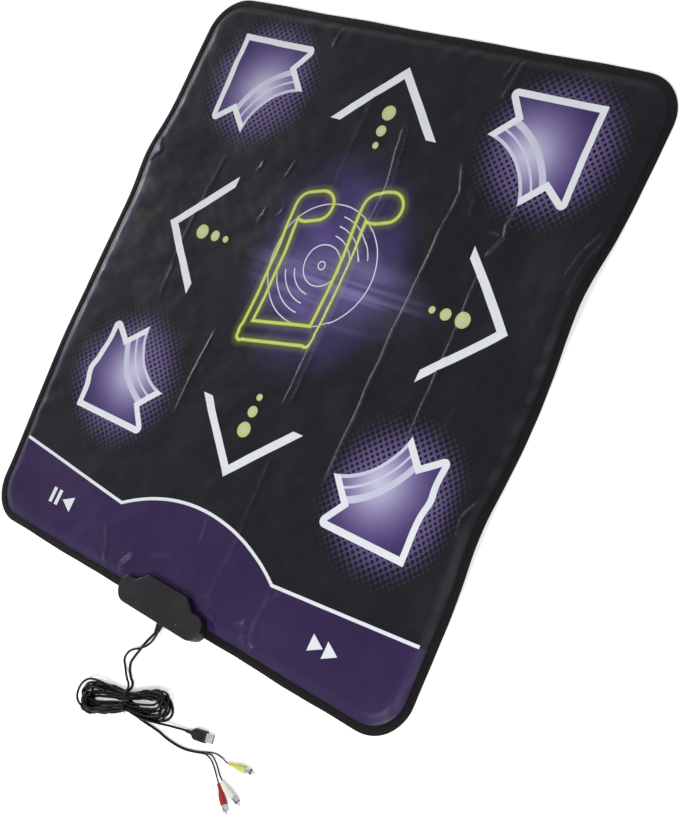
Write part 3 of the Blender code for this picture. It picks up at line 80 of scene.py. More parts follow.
def ink(code: str) -> tuple[float, float, float, float]:
    """Turn a screen colour into the linear colour that a shader takes.

    Args:
        code: Six hexadecimal digits.

    Returns:
        Linear red, green and blue, with an alpha of one.
    """
    parts = [int(code[k : k + 2], 16) / 255 for k in (0, 2, 4)]
    red, green, blue = (p / 12.92 if p <= 0.04045 else ((p + 0.055) / 1.055) ** 2.4 for p in parts)
    return (red, green, blue, 1.0)


def ease(share: Array | float) -> Array | float:
    """Bend a share from 0 to 1 so that it starts and ends level."""
    return share * share * (3 - 2 * share)


def smooth_step(value: Array, low: float, high: float) -> Array:
    """Rise smoothly from 0 at low to 1 at high, also where high is the lower of the two."""
    return ease(np.clip((np.asarray(value, float) - low) / (high - low), 0.0, 1.0))


# Shader nodes


@dataclass(frozen=True)
class Flow:
    """A value that a graph's node puts out, which takes part in sums as a number does."""

    graph: "Graph"
    socket: Socket

    def __add__(self, other: "Value") -> "Flow":
        """Add a value."""
        return self.graph.math("ADD", self, other)

    def __sub__(self, other: "Value") -> "Flow":
        """Take a value away."""
        return self.graph.math("SUBTRACT", self, other)

    def __rsub__(self, other: float) -> "Flow":
        """Take this value away from a number."""
        return self.graph.math("SUBTRACT", other, self)

    def __mul__(self, other: "Value") -> "Flow":
        """Multiply by a value."""
        return self.graph.math("MULTIPLY", self, other)

    def __truediv__(self, other: "Value") -> "Flow":
        """Divide by a value."""
        return self.graph.math("DIVIDE", self, other)

    def __abs__(self) -> "Flow":
        """Drop the sign."""
        return self.graph.math("ABSOLUTE", self)


Value = Flow | float


class Graph:
    """Adds nodes to one node tree and joins them."""

    def __init__(self, tree: bpy.types.NodeTree) -> None:
        """Work on one tree."""
        self.tree = tree

    def put(self, socket: Socket, value: object) -> None:
        """Join a socket to a flow, or set its own value, where a text is an ink's code.

        Args:
            socket: The input to fill.
            value: A flow, a plain value or an ink's code.
        """
        if isinstance(value, Flow):
            self.tree.links.new(value.socket, socket)
        else:
            socket.default_value = ink(value) if isinstance(value, str) else value

    def add(self, kind: str, inputs: Inputs | None = None, **settings: object) -> Node:
        """Add a node.

        Args:
            kind: The node's type, without its ShaderNode prefix.
            inputs: Values or flows for its inputs, by name or number.
            settings: Values for the node's own settings.

        Returns:
            The new node.
        """
        node = self.tree.nodes.new("ShaderNode" + kind)
        for name, value in settings.items():
            setattr(node, name, value)
        for name, value in (inputs or {}).items():
            self.put(node.inputs[name], value)
        return node

    def read(self, output: str | int, kind: str, inputs: Inputs | None = None, **settings: object) -> Flow:
        """Add a node, as add does, and give one of its outputs."""
        return Flow(self, self.add(kind, inputs, **settings).outputs[output])

    def math(self, operation: str, *values: Value, clamp: bool = False) -> Flow:
        """Add one Math node and give its result."""
        return self.read(0, "Math", dict(enumerate(values)), operation=operation, use_clamp=clamp)

    def least(self, *values: Value) -> Flow:
        """The lowest of several values."""
        return reduce(lambda least, value: self.math("MINIMUM", least, value), values)

    def most(self, *values: Value) -> Flow:
        """The highest of several values."""
        return reduce(lambda most, value: self.math("MAXIMUM", most, value), values)

    def body(self) -> Flow:
        """The place on the object, in metres."""
        return self.read("Object", "TexCoord")

    def split(self, vector: Flow) -> list[Flow]:
        """The three parts of a vector."""
        return [Flow(self, part) for part in self.add("SeparateXYZ", {0: vector}).outputs]

    def length(self, x: Value, y: Value) -> Flow:
        """The length of the vector (x, y)."""
        return self.math("SQRT", self.math("MULTIPLY_ADD", x, x, self.math("MULTIPLY", y, y)))

    def circle(self, x: Flow, y: Flow, centre: Pair, radii: Pair = (1.0, 1.0)) -> Flow:
        """The distance of (x, y) from a centre, or as a share of an oval's radii."""
        return self.length(*((at - middle) / radius if radius != 1.0 else at - middle
                             for at, middle, radius in zip((x, y), centre, radii)))

    def past(self, x: Value, y: Value, normal: Pair, point: Pair) -> Flow:
        """How far (x, y) lies past the line through a point, along the line's normal."""
        (a, b), (at_x, at_y) = normal, point
        return self.math("MULTIPLY_ADD", x, a, self.math("MULTIPLY_ADD", y, b, -a * at_x - b * at_y))

    def segment(self, x: Value, y: Value, start: Pair, end: Pair) -> Flow:
        """The distance of (x, y) from a straight segment.

        Args:
            x: Place across.
            y: Place along.
            start: The segment's start.
            end: The segment's end.

        Returns:
            The distance.
        """
        run = math.dist(start, end)
        way = ((end[0] - start[0]) / run, (end[1] - start[1]) / run)
        along = self.past(x, y, way, start)
        over = along - self.least(self.most(along, 0.0), run)
        return self.length(over, self.past(x, y, (-way[1], way[0]), start))

    def lattice(self, x: Value, y: Value, pitch: float) -> Flow:
        """The distance of (x, y) from the nearest point of a diagonal lattice."""
        steps = [self.past(x, y, (1 / pitch, way / pitch), (-pitch / 2, 0.0)) for way in (1.0, -1.0)]
        return self.length(*(self.math("FRACT", step) - 0.5 for step in steps)) * (pitch * math.sqrt(0.5))

    def ramp(self, value: Value, low: float, high: float, first: float = 0.0, last: float = 1.0) -> Flow:
        """Map a value smoothly from first at low to last at high."""
        inputs = {"Value": value, "From Min": low, "From Max": high, "To Min": first, "To Max": last}
        return self.read(0, "MapRange", inputs, interpolation_type="SMOOTHSTEP")

    def inside(self, distance: Value, soft: float = 0.35) -> Flow:
        """A mask that is one where a signed distance is below zero."""
        return self.ramp(distance, soft, -soft)

    def mix(self, factor: Value, first: Flow | str, second: Flow | str) -> Flow:
        """Mix two colours."""
        return self.read(2, "Mix", {0: factor, 6: first, 7: second}, data_type="RGBA")

    def mottle(self, noise: Flow, first: str, second: str) -> Flow:
        """Turn a noise into a slow change between two inks."""
        return self.mix(self.ramp(noise, 0.3, 0.7), first, second)

    def noise(self, place: Flow, scale: Value, detail: float = 2.0, rough: float = 0.5) -> Flow:
        """The value of a noise texture."""
        inputs = {"Vector": place, "Scale": scale, "Detail": detail, "Roughness": rough}
        return self.read(0, "TexNoise", inputs)

    def cells(self, place: Flow, scale: Value, **settings: str) -> Flow:
        """The distance that a cell texture gives."""
        return self.read("Distance", "TexVoronoi", {"Vector": place, "Scale": scale}, **settings)

    def bump(self, height: Value, distance: float, under: Flow | None = None) -> Flow:
        """A normal bent by a height, given in metres where the height is one."""
        inputs = {"Height": height, "Distance": distance, "Strength": 1.0}
        return self.read(0, "Bump", inputs | ({"Normal": under} if under else {}))


class Effect:
    """A node group that several materials share, built once and placed with each one's values."""

    name = ""
    inputs: tuple[tuple[str, str, object], ...] = ()
    outputs: tuple[tuple[str, str], ...] = ()

    def wire(self, graph: Graph, *given: Flow) -> Sequence[Flow]:
        """Work out the group's outputs from its inputs, both in the order of their names."""
        raise NotImplementedError

    def tree(self) -> bpy.types.NodeTree:
        """Give the group, and build it the first time.

        Returns:
            The group's node tree.
        """
        found = bpy.data.node_groups.get(self.name)
        if found:
            return found
        tree = bpy.data.node_groups.new(self.name, "ShaderNodeTree")
        for title, kind, default in self.inputs:
            socket = tree.interface.new_socket(title, in_out="INPUT", socket_type="NodeSocket" + kind)
            if default is not None:
                socket.default_value = default
        for title, kind in self.outputs:
            tree.interface.new_socket(title, in_out="OUTPUT", socket_type="NodeSocket" + kind)
        graph = Graph(tree)
        start, end = tree.nodes.new("NodeGroupInput"), tree.nodes.new("NodeGroupOutput")
        given = [Flow(graph, start.outputs[title]) for title, _, _ in self.inputs]
        for (title, _), flow in zip(self.outputs, self.wire(graph, *given)):
            graph.put(end.inputs[title], flow)
        return tree

    def place(self, graph: Graph, **values: object) -> list[Flow]:
        """Put the group into a material's graph with that material's own values, and give its outputs."""
        node = graph.add("Group", values, node_tree=self.tree())
        return [Flow(graph, socket) for socket in node.outputs]


class Grain(Effect):
    """Fine moulding grain and a slow change of tone."""

    name = "Grain"
    inputs = (("Place", "Vector", None), ("Scale", "Float", 900.0), ("Patch", "Float", 35.0))
    outputs = (("Height", "Float"), ("Tone", "Float"))

    def wire(self, graph: Graph, *given: Flow) -> Sequence[Flow]:
        """Mix a fine and a coarser grain into a height, and a wide noise into a tone.

        Args:
            graph: The group's graph.
            *given: The group's inputs, in the order of their names.

        Returns:
            The group's outputs, in the order of their names.
        """
        place, scale, patch = given
        height = graph.cells(place, scale) * 0.6 + graph.noise(place, scale, 3.0, 0.6)
        return height, graph.ramp(graph.noise(place, patch, 4.0, 0.55), 0.3, 0.7)


class EdgeWear(Effect):
    """A mask of the edges that hands rub."""

    name = "Edge wear"
    inputs = (("Place", "Vector", None), ("Reach", "Float", 0.0006))
    outputs = (("Mask", "Float"),)

    def wire(self, graph: Graph, *given: Flow) -> Sequence[Flow]:
        """Compare the rounded normal with the real one, broken up by noise.

        Args:
            graph: The group's graph.
            *given: The group's inputs, in the order of their names.

        Returns:
            The group's outputs, in the order of their names.
        """
        place, reach = given
        rounded = graph.read(0, "Bevel", {"Radius": reach}, samples=4)
        normals = {0: rounded, 1: graph.read("Normal", "NewGeometry")}
        alike = graph.read("Value", "VectorMath", normals, operation="DOT_PRODUCT")
        rub = graph.ramp(graph.noise(place, 260.0, 3.0), 0.42, 0.62)
        return (graph.ramp(alike, 0.99, 0.8) * rub,)


class Dust(Effect):
    """A mask of fine dust on upward faces."""

    name = "Dust"
    inputs = (("Place", "Vector", None), ("Amount", "Float", 0.3))
    outputs = (("Mask", "Float"),)

    def wire(self, graph: Graph, *given: Flow) -> Sequence[Flow]:
        """Keep specks and faint drifts where the surface faces up.

        Args:
            graph: The group's graph.
            *given: The group's inputs, in the order of their names.

        Returns:
            The group's outputs, in the order of their names.
        """
        place, amount = given
        up = graph.ramp(graph.split(graph.read("Normal", "NewGeometry"))[2], 0.2, 0.9)
        drift = graph.ramp(graph.noise(place, 16.0, 5.0, 0.65), 0.42, 0.75)
        speck = graph.ramp(graph.noise(place, 1100.0, 1.0), 0.66, 0.74)
        return (graph.math("MULTIPLY_ADD", drift, 0.45, speck, clamp=True) * up * amount,)


class Weave(Effect):
    """A plain weave of yarns that pass over and under each other."""

    name = "Weave"
    inputs = (("Place", "Vector", None), ("Pitch", "Float", 0.0006))
    outputs = (("Height", "Float"), ("Shade", "Float"))

    def wire(self, graph: Graph, *given: Flow) -> Sequence[Flow]:
        """Raise each crossing's upper yarn, and paint shade into the gaps between the yarns.

        Args:
            graph: The group's graph.
            *given: The group's inputs, in the order of their names.

        Returns:
            The group's outputs, in the order of their names.
        """
        place, pitch = given
        rate = graph.math("DIVIDE", math.pi, pitch)
        along, across = (graph.math("SINE", part * rate) for part in graph.split(place)[:2])
        warp, weft = abs(along), abs(across)
        height = weft + graph.ramp(along * across, -0.06, 0.06) * (warp - weft)
        return height, graph.ramp(height, 0.15, 0.8)


# Finishes


@dataclass(frozen=True)
class Finish:
    """A finish that a piece is dressed in: a material's name and a slot's name."""

    title: str
    slot: str

    def surface(self, graph: Graph) -> Inputs:
        """Work out what goes into the Principled shader."""
        raise NotImplementedError

    def material(self) -> bpy.types.Material:
        """Give the material, and build it the first time.

        Returns:
            The material.
        """
        found = bpy.data.materials.get(self.title)
        if found:
            return found
        made, graph = blank_material(self.title)
        shader = graph.read(0, "BsdfPrincipled", self.surface(graph))
        graph.add("OutputMaterial", {"Surface": shader}, is_active_output=True)
        return made

    def dress(self, piece: Piece) -> Piece:
        """Give a piece this finish alone.

        Args:
            piece: The piece to dress.

        Returns:
            The same piece.
        """
        piece.data.materials.clear()
        piece.data.materials.append(self.material())
        if isinstance(piece.data, bpy.types.Mesh):
            piece.data.polygons.foreach_set("material_index", [0] * len(piece.data.polygons))
        return piece


def blank_material(title: str) -> tuple[bpy.types.Material, Graph]:
    """Start a material that has no nodes yet.

    Args:
        title: The material's name.

    Returns:
        The material, and a graph on its nodes.
    """
    made = bpy.data.materials.new(title)
    made.use_nodes = True
    made.node_tree.nodes.clear()
    return made, Graph(made.node_tree)


@dataclass(frozen=True)
class Moulded(Finish):
    """Moulded plastic, rubber, lacquer or metal with grain, changes of tone, rubbed edges and dust."""

    colour: str
    second: str
    gloss: Pair = (0.42, 0.55)
    metallic: float = 0.0
    grain: float = 900.0
    depth: float = 0.00003
    patch: float = 35.0
    wear: float = 0.35
    worn: str = "6a6a6e"
    dust: float = 0.12
    coat: float = 0.0
    reach: float = 0.0006
    specular: float = 0.2

    def surface(self, graph: Graph) -> Inputs:
        """Tone the colour, wear the edges, dust the top and bend the normal with the grain.

        Args:
            graph: The material's graph.

        Returns:
            Values and flows for the shader's inputs, by name.
        """
        place = graph.body()
        height, tone = Grain().place(graph, Place=place, Scale=self.grain, Patch=self.patch)
        (worn,) = EdgeWear().place(graph, Place=place, Reach=self.reach)
        (dust,) = Dust().place(graph, Place=place, Amount=self.dust)
        colour = graph.mix(worn * self.wear, graph.mix(tone, self.colour, self.second), self.worn)
        rough = graph.ramp(tone, 0.0, 1.0, *self.gloss)
        return {
            "Base Color": graph.mix(dust, colour, "8c8a88"),
            "Roughness": graph.math("MULTIPLY_ADD", dust, 0.3, rough, clamp=True),
            "Normal": graph.bump(height, self.depth),
            "Metallic": self.metallic,
            "Specular IOR Level": 0.5 if self.metallic else self.specular,
            "Coat Weight": self.coat,
            "Coat Roughness": 0.12,
        }


@dataclass(frozen=True)
class Tape(Finish):
    """Woven tape or thread, dull and dark, with its yarns in a map named weave."""

    colour: str
    second: str
    pitch: float = 0.0006
    depth: float = 0.0002

    def surface(self, graph: Graph) -> Inputs:
        """Paint shade between the yarns, vary the dye and raise the weave.

        Args:
            graph: The material's graph.

        Returns:
            Values and flows for the shader's inputs, by name.
        """
        body = graph.body()
        height, shade = Weave().place(graph, Place=graph.read(0, "UVMap", uv_map="weave"), Pitch=self.pitch)
        (dust,) = Dust().place(graph, Place=body, Amount=0.03)
        dyed = graph.mottle(graph.noise(body, 60.0, 4.0), self.colour, self.second)
        return {
            # painted shade: the gaps between the yarns are darkened towards near black
            "Base Color": graph.mix(dust, graph.mix(shade * 0.5, "08080a", dyed), "77757a"),
            "Roughness": graph.ramp(shade, 0.0, 1.0, 0.9, 0.68),
            "Normal": graph.bump(height, self.depth),
            "Sheen Weight": 0.02,
            "Sheen Roughness": 0.5,
            "Specular IOR Level": 0.15,
        }


@dataclass(frozen=True)
class DottedUnderside(Finish):
    """Non-slip backing: felted fibres with small raised dots."""

    pitch: float = 0.0046
    radius: float = 0.0011

    def surface(self, graph: Graph) -> Inputs:
        """Set a lattice of glossy dots on a matt fibre ground.

        Args:
            graph: The material's graph.

        Returns:
            Values and flows for the shader's inputs, by name.
        """
        place = graph.body()
        x, y, _ = graph.split(place)
        dot = graph.ramp(graph.lattice(x, y, self.pitch), self.radius, self.radius * 0.7)
        fibre = graph.noise(place, 1500.0, 4.0, 0.7)
        (dust,) = Dust().place(graph, Place=place, Amount=0.2)
        ground = graph.mottle(fibre, "1c1c20", "303036")
        return {
            "Base Color": graph.mix(dust, graph.mix(dot, ground, "101013"), "6d6c70"),
            "Roughness": graph.ramp(dot, 0.0, 1.0, 0.85, 0.45),
            "Normal": graph.bump(graph.math("MULTIPLY_ADD", fibre, 0.25, dot), 0.0004),
        }


@dataclass(frozen=True)
class Foam(Finish):
    """Closed-cell foam with small pores."""

    colour: str
    second: str
    cells: float = 420.0

    def surface(self, graph: Graph) -> Inputs:
        """Open small pores, painted darker as shade, in a pale, uneven ground.

        Args:
            graph: The material's graph.

        Returns:
            Values and flows for the shader's inputs, by name.
        """
        place = graph.body()
        cell = graph.cells(place, self.cells)
        ground = graph.mottle(graph.noise(place, 28.0, 3.0), self.colour, self.second)
        return {
            # painted shade: the pores are darkened towards grey-brown
            "Base Color": graph.mix(graph.ramp(cell, 0.55, 0.2, 0.0, 0.35), ground, "77736c"),
            "Roughness": graph.ramp(cell, 0.1, 0.6, 0.95, 0.8),
            "Normal": graph.bump(cell, 0.0004),
        }


@dataclass(frozen=True)
class ContactFilm(Finish):
    """Clear film printed with dark conductive ink in a fine lattice."""

    pitch: float = 0.01

    def surface(self, graph: Graph) -> Inputs:
        """Lay a lattice of printed tracks over the film.

        Args:
            graph: The material's graph.

        Returns:
            Values and flows for the shader's inputs, by name.
        """
        place = graph.body()
        cells = [graph.math("FRACT", part * (1 / self.pitch)) for part in graph.split(place)[:2]]
        track = graph.ramp(graph.least(*(abs(share - 0.5) for share in cells)), 0.16, 0.12)
        film = graph.mottle(graph.noise(place, 40.0, 3.0), "aab0b6", "bcc2c6")
        return {
            "Base Color": graph.mix(track, film, "2b2b30"),
            "Roughness": graph.ramp(track, 0.0, 1.0, 0.25, 0.7),
            "Normal": graph.bump(track, 0.00002),
        }


@dataclass(frozen=True)
class BoardFinish(Finish):
    """Green lacquered board with copper tracks and drilled pads."""

    cells: float = 190.0

    def surface(self, graph: Graph) -> Inputs:
        """Run tracks along a warped lattice under the lacquer.

        Args:
            graph: The material's graph.

        Returns:
            Values and flows for the shader's inputs, by name.
        """
        place = graph.body()
        pad = graph.ramp(graph.cells(place, self.cells, distance="MANHATTAN", feature="F1"), 0.2, 0.16)
        track = graph.ramp(graph.cells(place, self.cells, feature="DISTANCE_TO_EDGE"), 0.12, 0.08)
        lacquer = graph.mottle(graph.noise(place, 90.0, 3.0), "0d4a25", "125530")
        return {
            "Base Color": graph.mix(pad, graph.mix(track, lacquer, "2c7a46"), "b8b4a4"),
            "Roughness": graph.ramp(pad, 0.0, 1.0, 0.3, 0.45),
            "Normal": graph.bump(track, 0.00004),
        }


@dataclass(frozen=True)
class PrintedVinyl(Finish):
    """Printed, satin vinyl skin with a fine emboss, creases lightened by whitening and by a painted
    highlight, and dust.
    """

    def surface(self, graph: Graph) -> Inputs:
        """Print the colour, lighten the creases with whitening and a painted highlight, and let gloss and
        emboss vary.

        Args:
            graph: The material's graph.

        Returns:
            Values and flows for the shader's inputs, by name.
        """
        body = graph.body()
        (printed,) = MatPrint().place(graph, Place=graph.read(0, "UVMap", uv_map="print"))
        crease_whitening_and_glint = graph.read("Fac", "Attribute", attribute_name="crease_whitening_and_glint")
        broken = graph.ramp(graph.noise(body, 420.0, 3.0), 0.42, 0.6)
        (dust,) = Dust().place(graph, Place=body, Amount=0.045)
        height, tone = Grain().place(graph, Place=body, Scale=1400.0, Patch=22.0)
        rough = graph.ramp(tone, 0.0, 1.0, 0.33, 0.43)
        ripple = graph.bump(graph.noise(body, 42.0, 3.0), 0.00035)
        return {
            # creased crests are lightened towards pale grey: partly the vinyl's whitening, partly a painted
            # highlight
            "Base Color": graph.mix(dust, graph.mix(crease_whitening_and_glint * (broken * 0.22), printed, "85838c"), "8f8c94"),
            "Roughness": graph.math("MULTIPLY_ADD", dust, 0.5, rough, clamp=True),
            "Normal": graph.bump(height, 0.00003, ripple),
            "Specular IOR Level": 0.15,
        }


class MatPrint(Effect):
    """The mat's print, laid out on the map named print."""

    name = "Mat print"
    inputs = (("Place", "Vector", None),)
    outputs = (("Colour", "Color"),)

    def wire(self, graph: Graph, *given: Flow) -> Sequence[Flow]:
        """Draw the print over the map."""
        x, y, _ = graph.split(given[0])
        return (Drawing(graph, x, y).finish(),)


class Drawing:
    """Draws the print one ink over the other, in mm from the mat's middle, upright for the player."""

    silver = "e5e9ef"
    field = "0c0a14"
    film_from = 392.0  # where the field ends and bare purple film begins
    # purple light in the middle: where each part is, and how far it reaches
    glow = ((-5.0, -88.0), (148.0, 182.0))
    streaks = ((-32.0, -62.0), (195.0, 74.0))
    # corner arrow, from its outer corner inwards: edges as a normal and a point, and a rounded tip
    arrow_at = (329.0, 321.5)
    wing = ((0.802, 0.597), (147.0, 12.0))
    flank = ((0.723, -0.690), (126.7, 39.3))
    diagonal = (0.7071, 0.7071)
    foot = 232.0
    tip_at = (138.0, 9.0)
    tip_way = (0.597, -0.802)
    tip_radius = 9.0
    rim = 10.0
    arcs_at = (173.5, 173.5)
    arcs = ((103.5, 108.5, "cfcde4"), (119.5, 123.0, "cfcde4"), (133.0, 143.0, "c9cbe0"))
    light_at = (85.0, 85.0)
    light = {0.0: "d0cee2", 20.0: "b4aed0", 44.0: "8277a6", 70.0: "51437a", 96.0: "37295b", 120.0: "2e214d"}
    halo_at = (71.0, 71.0)
    halo_drift = 14.0
    halo_edge = 14.0
    halo = {0.0: "75689a", 60.0: "685b88", 84.0: "4f4370", 102.0: "302848", 117.0: "191526", 130.0: field}
    dot_pitch = 11.2
    dot_sizes = {"From Min": 78.0, "From Max": 129.0, "To Min": 2.5, "To Max": 4.4}
    # straight steps' chevrons, from the steps' middle outwards, and their dots
    chevron_tip = 311.4
    chevron_foot = 222.0
    chevron_half = 6.4
    dots = ((248.0, 11.5), (220.0, 8.5), (197.5, 5.25))
    # band along the box side, its line and its signs
    band_edge = ((-0.0869, -0.9962), (400.0, 325.0))
    arch_at = (0.0, 581.0)
    arch_radius = 281.0
    line_half = 2.35
    line_to = 398.0
    signs_y = 386.0
    sign_half = 12.0
    bars = (279.5, 292.5)
    bar_half = 3.5
    triangles = ((246.0, 269.0), (-273.0, -295.0), (-248.0, -270.0))
    # record and beamed notes in the middle
    record_at = (6.0, -84.0)
    rings = (92.0, 31.0, 6.0)
    grooves = (76.0, 61.0, 46.0)
    groove_way = (0.6, 0.8)
    groove_spread = 0.62
    record_half = 0.95
    notes = (
        ((-66.0, -191.0), (-46.0, -184.0), 23.0),
        ((50.0, -166.0), (70.0, -159.0), 23.0),
        ((-30.0, -182.0), (-30.0, 26.0), 7.5),
        ((86.0, -156.0), (86.0, 50.0), 7.5),
        ((-24.0, 18.0), (80.0, 40.0), 15.0),
    )

    def __init__(self, graph: Graph, x: Flow, y: Flow) -> None:
        """Start with the near-black field, and the purple film that it leaves bare along one side.

        Args:
            graph: The print's graph.
            x: Place across the mat.
            y: Place along the mat.
        """
        self.graph, self.x, self.y = graph, x, y
        self.side, self.depth = abs(x), abs(y - STEPS_Y)
        film = graph.ramp(x, self.film_from - 0.4, self.film_from + 0.4)
        self.colour = graph.mix(film, self.field, "1f1934")

    def finish(self) -> Flow:
        """Draw everything, and give the colour.

        Returns:
            The print's colour.
        """
        self.middle_glow()
        self.corner_arrow()
        self.chevron()
        self.menu_band()
        self.menu_signs()
        self.record()
        self.neon_notes()
        return self.colour

    def wash(self, share: Flow, colour: Flow | str) -> None:
        """Blend a colour over the print, by a share from 0 to 1."""
        self.colour = self.graph.mix(share, self.colour, colour)

    def lay(self, distance: Flow, colour: Flow | str) -> None:
        """Print a colour where a signed distance is below zero."""
        self.wash(self.graph.inside(distance), colour)

    def noise(self, rate_x: float, rate_y: float, detail: float = 2.0) -> Flow:
        """A noise with its own rate of change across and along the mat."""
        place = self.graph.read(0, "CombineXYZ", {"X": self.x * rate_x, "Y": self.y * rate_y})
        return self.graph.noise(place, 1.0, detail)

    def tones(self, distance: Flow, stops: dict[float, str]) -> Flow:
        """Blend inks by a distance, each pure at its own stop.

        Args:
            distance: What picks the ink.
            stops: An ink's code for each distance, in order.

        Returns:
            The blended colour.
        """
        reach = max(stops)
        ramp = self.graph.add("ValToRGB", {"Fac": distance / reach})
        ramp.color_ramp.interpolation = "B_SPLINE"
        elements = ramp.color_ramp.elements
        while len(elements) < len(stops):
            elements.new(1.0)
        for element, (place, code) in zip(elements, stops.items()):
            element.position = place / reach
            element.color = ink(code)
        return Flow(self.graph, ramp.outputs[0])

    def middle_glow(self) -> None:
        """Soft purple light around the middle, drawn out sideways into streaks."""
        graph = self.graph
        cloudy = graph.ramp(self.noise(0.011, 0.016, 3.0), 0.25, 0.75, 0.45, 1.0)
        self.wash(graph.ramp(graph.circle(self.x, self.y, *self.glow), 1.08, 0.25) * cloudy, "564785")
        streaky = graph.ramp(graph.ramp(self.noise(0.0035, 0.055), 0.36, 0.68), 0.0, 1.0, 0.25, 1.0)
        band = graph.ramp(graph.circle(self.x, self.y, *self.streaks), 1.0, 0.15)
        self.wash(band * streaky * 0.86, "8379ab")

    def corner_arrow(self) -> None:
        """Block arrow into each corner: its halo, its light, three arcs for its foot and its outline."""
        graph = self.graph
        across, along = self.arrow_at[0] - self.side, self.arrow_at[1] - self.depth
        shape = self.arrow_shape(graph.most(across, along), graph.least(across, along))
        self.corner_halo(across, along)
        arc, first = graph.circle(across, along, self.arcs_at), self.arcs[0][0]
        light = self.tones(graph.circle(across, along, self.light_at), self.light)
        self.lay(graph.most(shape, first - arc), light)
        for low, high, code in self.arcs:
            self.lay(graph.most(low - arc, arc - high, shape), code)
        self.lay(graph.most(shape, -self.rim - shape, first + 1.0 - arc), self.silver)

    def arrow_shape(self, most: Flow, least: Flow) -> Flow:
        """Signed distance of the block arrow, from the larger and the smaller way to its corner.

        Args:
            most: The larger way to the arrow's corner.
            least: The smaller one.

        Returns:
            The distance, which is below zero inside the arrow.
        """
        graph = self.graph
        edge = least * -1.0
        sharp = graph.most(graph.past(most, least, *self.wing), edge)
        beyond = graph.math("GREATER_THAN", most, self.tip_at[0])
        above = graph.math("GREATER_THAN", graph.past(most, least, self.tip_way, self.tip_at), 0.0)
        round_tip = graph.circle(most, least, self.tip_at) - self.tip_radius
        head = sharp + beyond * above * (round_tip - sharp)
        foot = graph.past(most, least, self.diagonal, (self.foot, 0.0))
        return graph.least(head, graph.most(graph.past(most, least, *self.flank), edge, foot))

    def corner_halo(self, across: Flow, along: Flow) -> None:
        """Halftone halo round a corner arrow, which drifts to the back side.

        Args:
            across: Way to the arrow's corner across the mat.
            along: Way to it along the mat.
        """
        graph, reach = self.graph, max(self.halo)
        drifted = graph.math("MULTIPLY_ADD", graph.math("LESS_THAN", self.x, 0.0), self.halo_drift, across)
        away = graph.circle(drifted, along, self.halo_at)
        size = graph.read(0, "MapRange", {"Value": away} | self.dot_sizes)
        gap = graph.ramp(graph.lattice(across, along, self.dot_pitch) - size, -0.3, 0.45)
        haze = graph.mix(gap, "08070c", self.tones(away, self.halo))
        self.wash(graph.ramp(away, reach, reach - self.halo_edge), haze)

    def chevron(self) -> None:
        """Open arrowhead and three shrinking dots on each of the four straight steps."""
        graph = self.graph
        far, near = graph.most(self.side, self.depth), graph.least(self.side, self.depth)
        arms = abs(graph.past(far, near, self.diagonal, (self.chevron_tip, 0.0))) - self.chevron_half
        self.lay(graph.most(arms, self.chevron_foot - far), self.silver)
        for place, radius in self.dots:
            reach = graph.circle(far, near, (place, 0.0))
            tones = {0.0: "c9cfae", radius * 0.6: "c6cd98", radius: "bdc873"}
            self.lay(reach - radius, self.tones(reach, tones))

    def menu_band(self) -> None:
        """Purple band along the box side, cut by a silver line that dips into an arch."""
        graph = self.graph
        arch = graph.circle(self.x, self.y, self.arch_at) - self.arch_radius
        edge = graph.least(graph.past(self.side, self.y, *self.band_edge), arch)
        self.lay(edge, graph.mottle(self.noise(0.006, 0.006), "2a1a42", "2f1f49"))
        self.lay(graph.most(abs(edge) - self.line_half, self.side - self.line_to), self.silver)

    def triangle(self, height: Flow, foot: float, tip: float) -> Flow:
        """Signed distance of a triangle whose tip points along x.

        Args:
            height: Place up from the triangle's middle line.
            foot: Where its foot is, along x.
            tip: Where its tip is, along x.

        Returns:
            The distance, which is below zero inside the triangle.
        """
        run, way = abs(tip - foot), math.copysign(1.0, tip - foot)
        size = math.hypot(run, self.sign_half)
        normal = (way * self.sign_half / size, run / size)
        slant = self.graph.past(self.x, abs(height), normal, (tip, 0.0))
        return self.graph.most(slant, self.graph.past(self.x, height, (-way, 0.0), (foot, 0.0)))

    def menu_signs(self) -> None:
        """Play-and-pause sign on the start step and a double back arrow on the back step."""
        height = self.y - self.signs_y
        tall = abs(height) - self.sign_half
        signs = [self.triangle(height, foot, tip) for foot, tip in self.triangles]
        signs += [self.graph.most(abs(self.x - place) - self.bar_half, tall) for place in self.bars]
        self.lay(self.graph.least(*signs), self.silver)

    def record(self) -> None:
        """Thin white outline of a record behind the notes, with arcs of its grooves."""
        graph, (a, b) = self.graph, self.groove_way
        reach = graph.circle(self.x, self.y, self.record_at)
        along, across = (graph.past(self.x, self.y, way, self.record_at) for way in ((a, b), (b, -a)))
        wedge = abs(across) - abs(along) * self.groove_spread
        lines = [abs(reach - radius) for radius in self.rings]
        lines += [graph.most(abs(reach - radius), wedge) for radius in self.grooves]
        self.lay(graph.least(*lines) - self.record_half, "dcdae8")

    def neon_notes(self) -> None:
        """Two beamed music notes as one glowing outline."""
        graph = self.graph
        reach = [graph.segment(self.x, self.y, start, end) - radius for start, end, radius in self.notes]
        outline = abs(graph.least(*reach))
        self.wash(graph.ramp(outline, 14.0, 1.0, 0.0, 0.34), "87923a")
        self.wash(graph.ramp(outline, 3.2, 2.1), "bfc94e")
        self.wash(graph.ramp(outline, 1.6, 0.4, 0.0, 0.7), "dfe39a")


# Shape of the mat as it lies


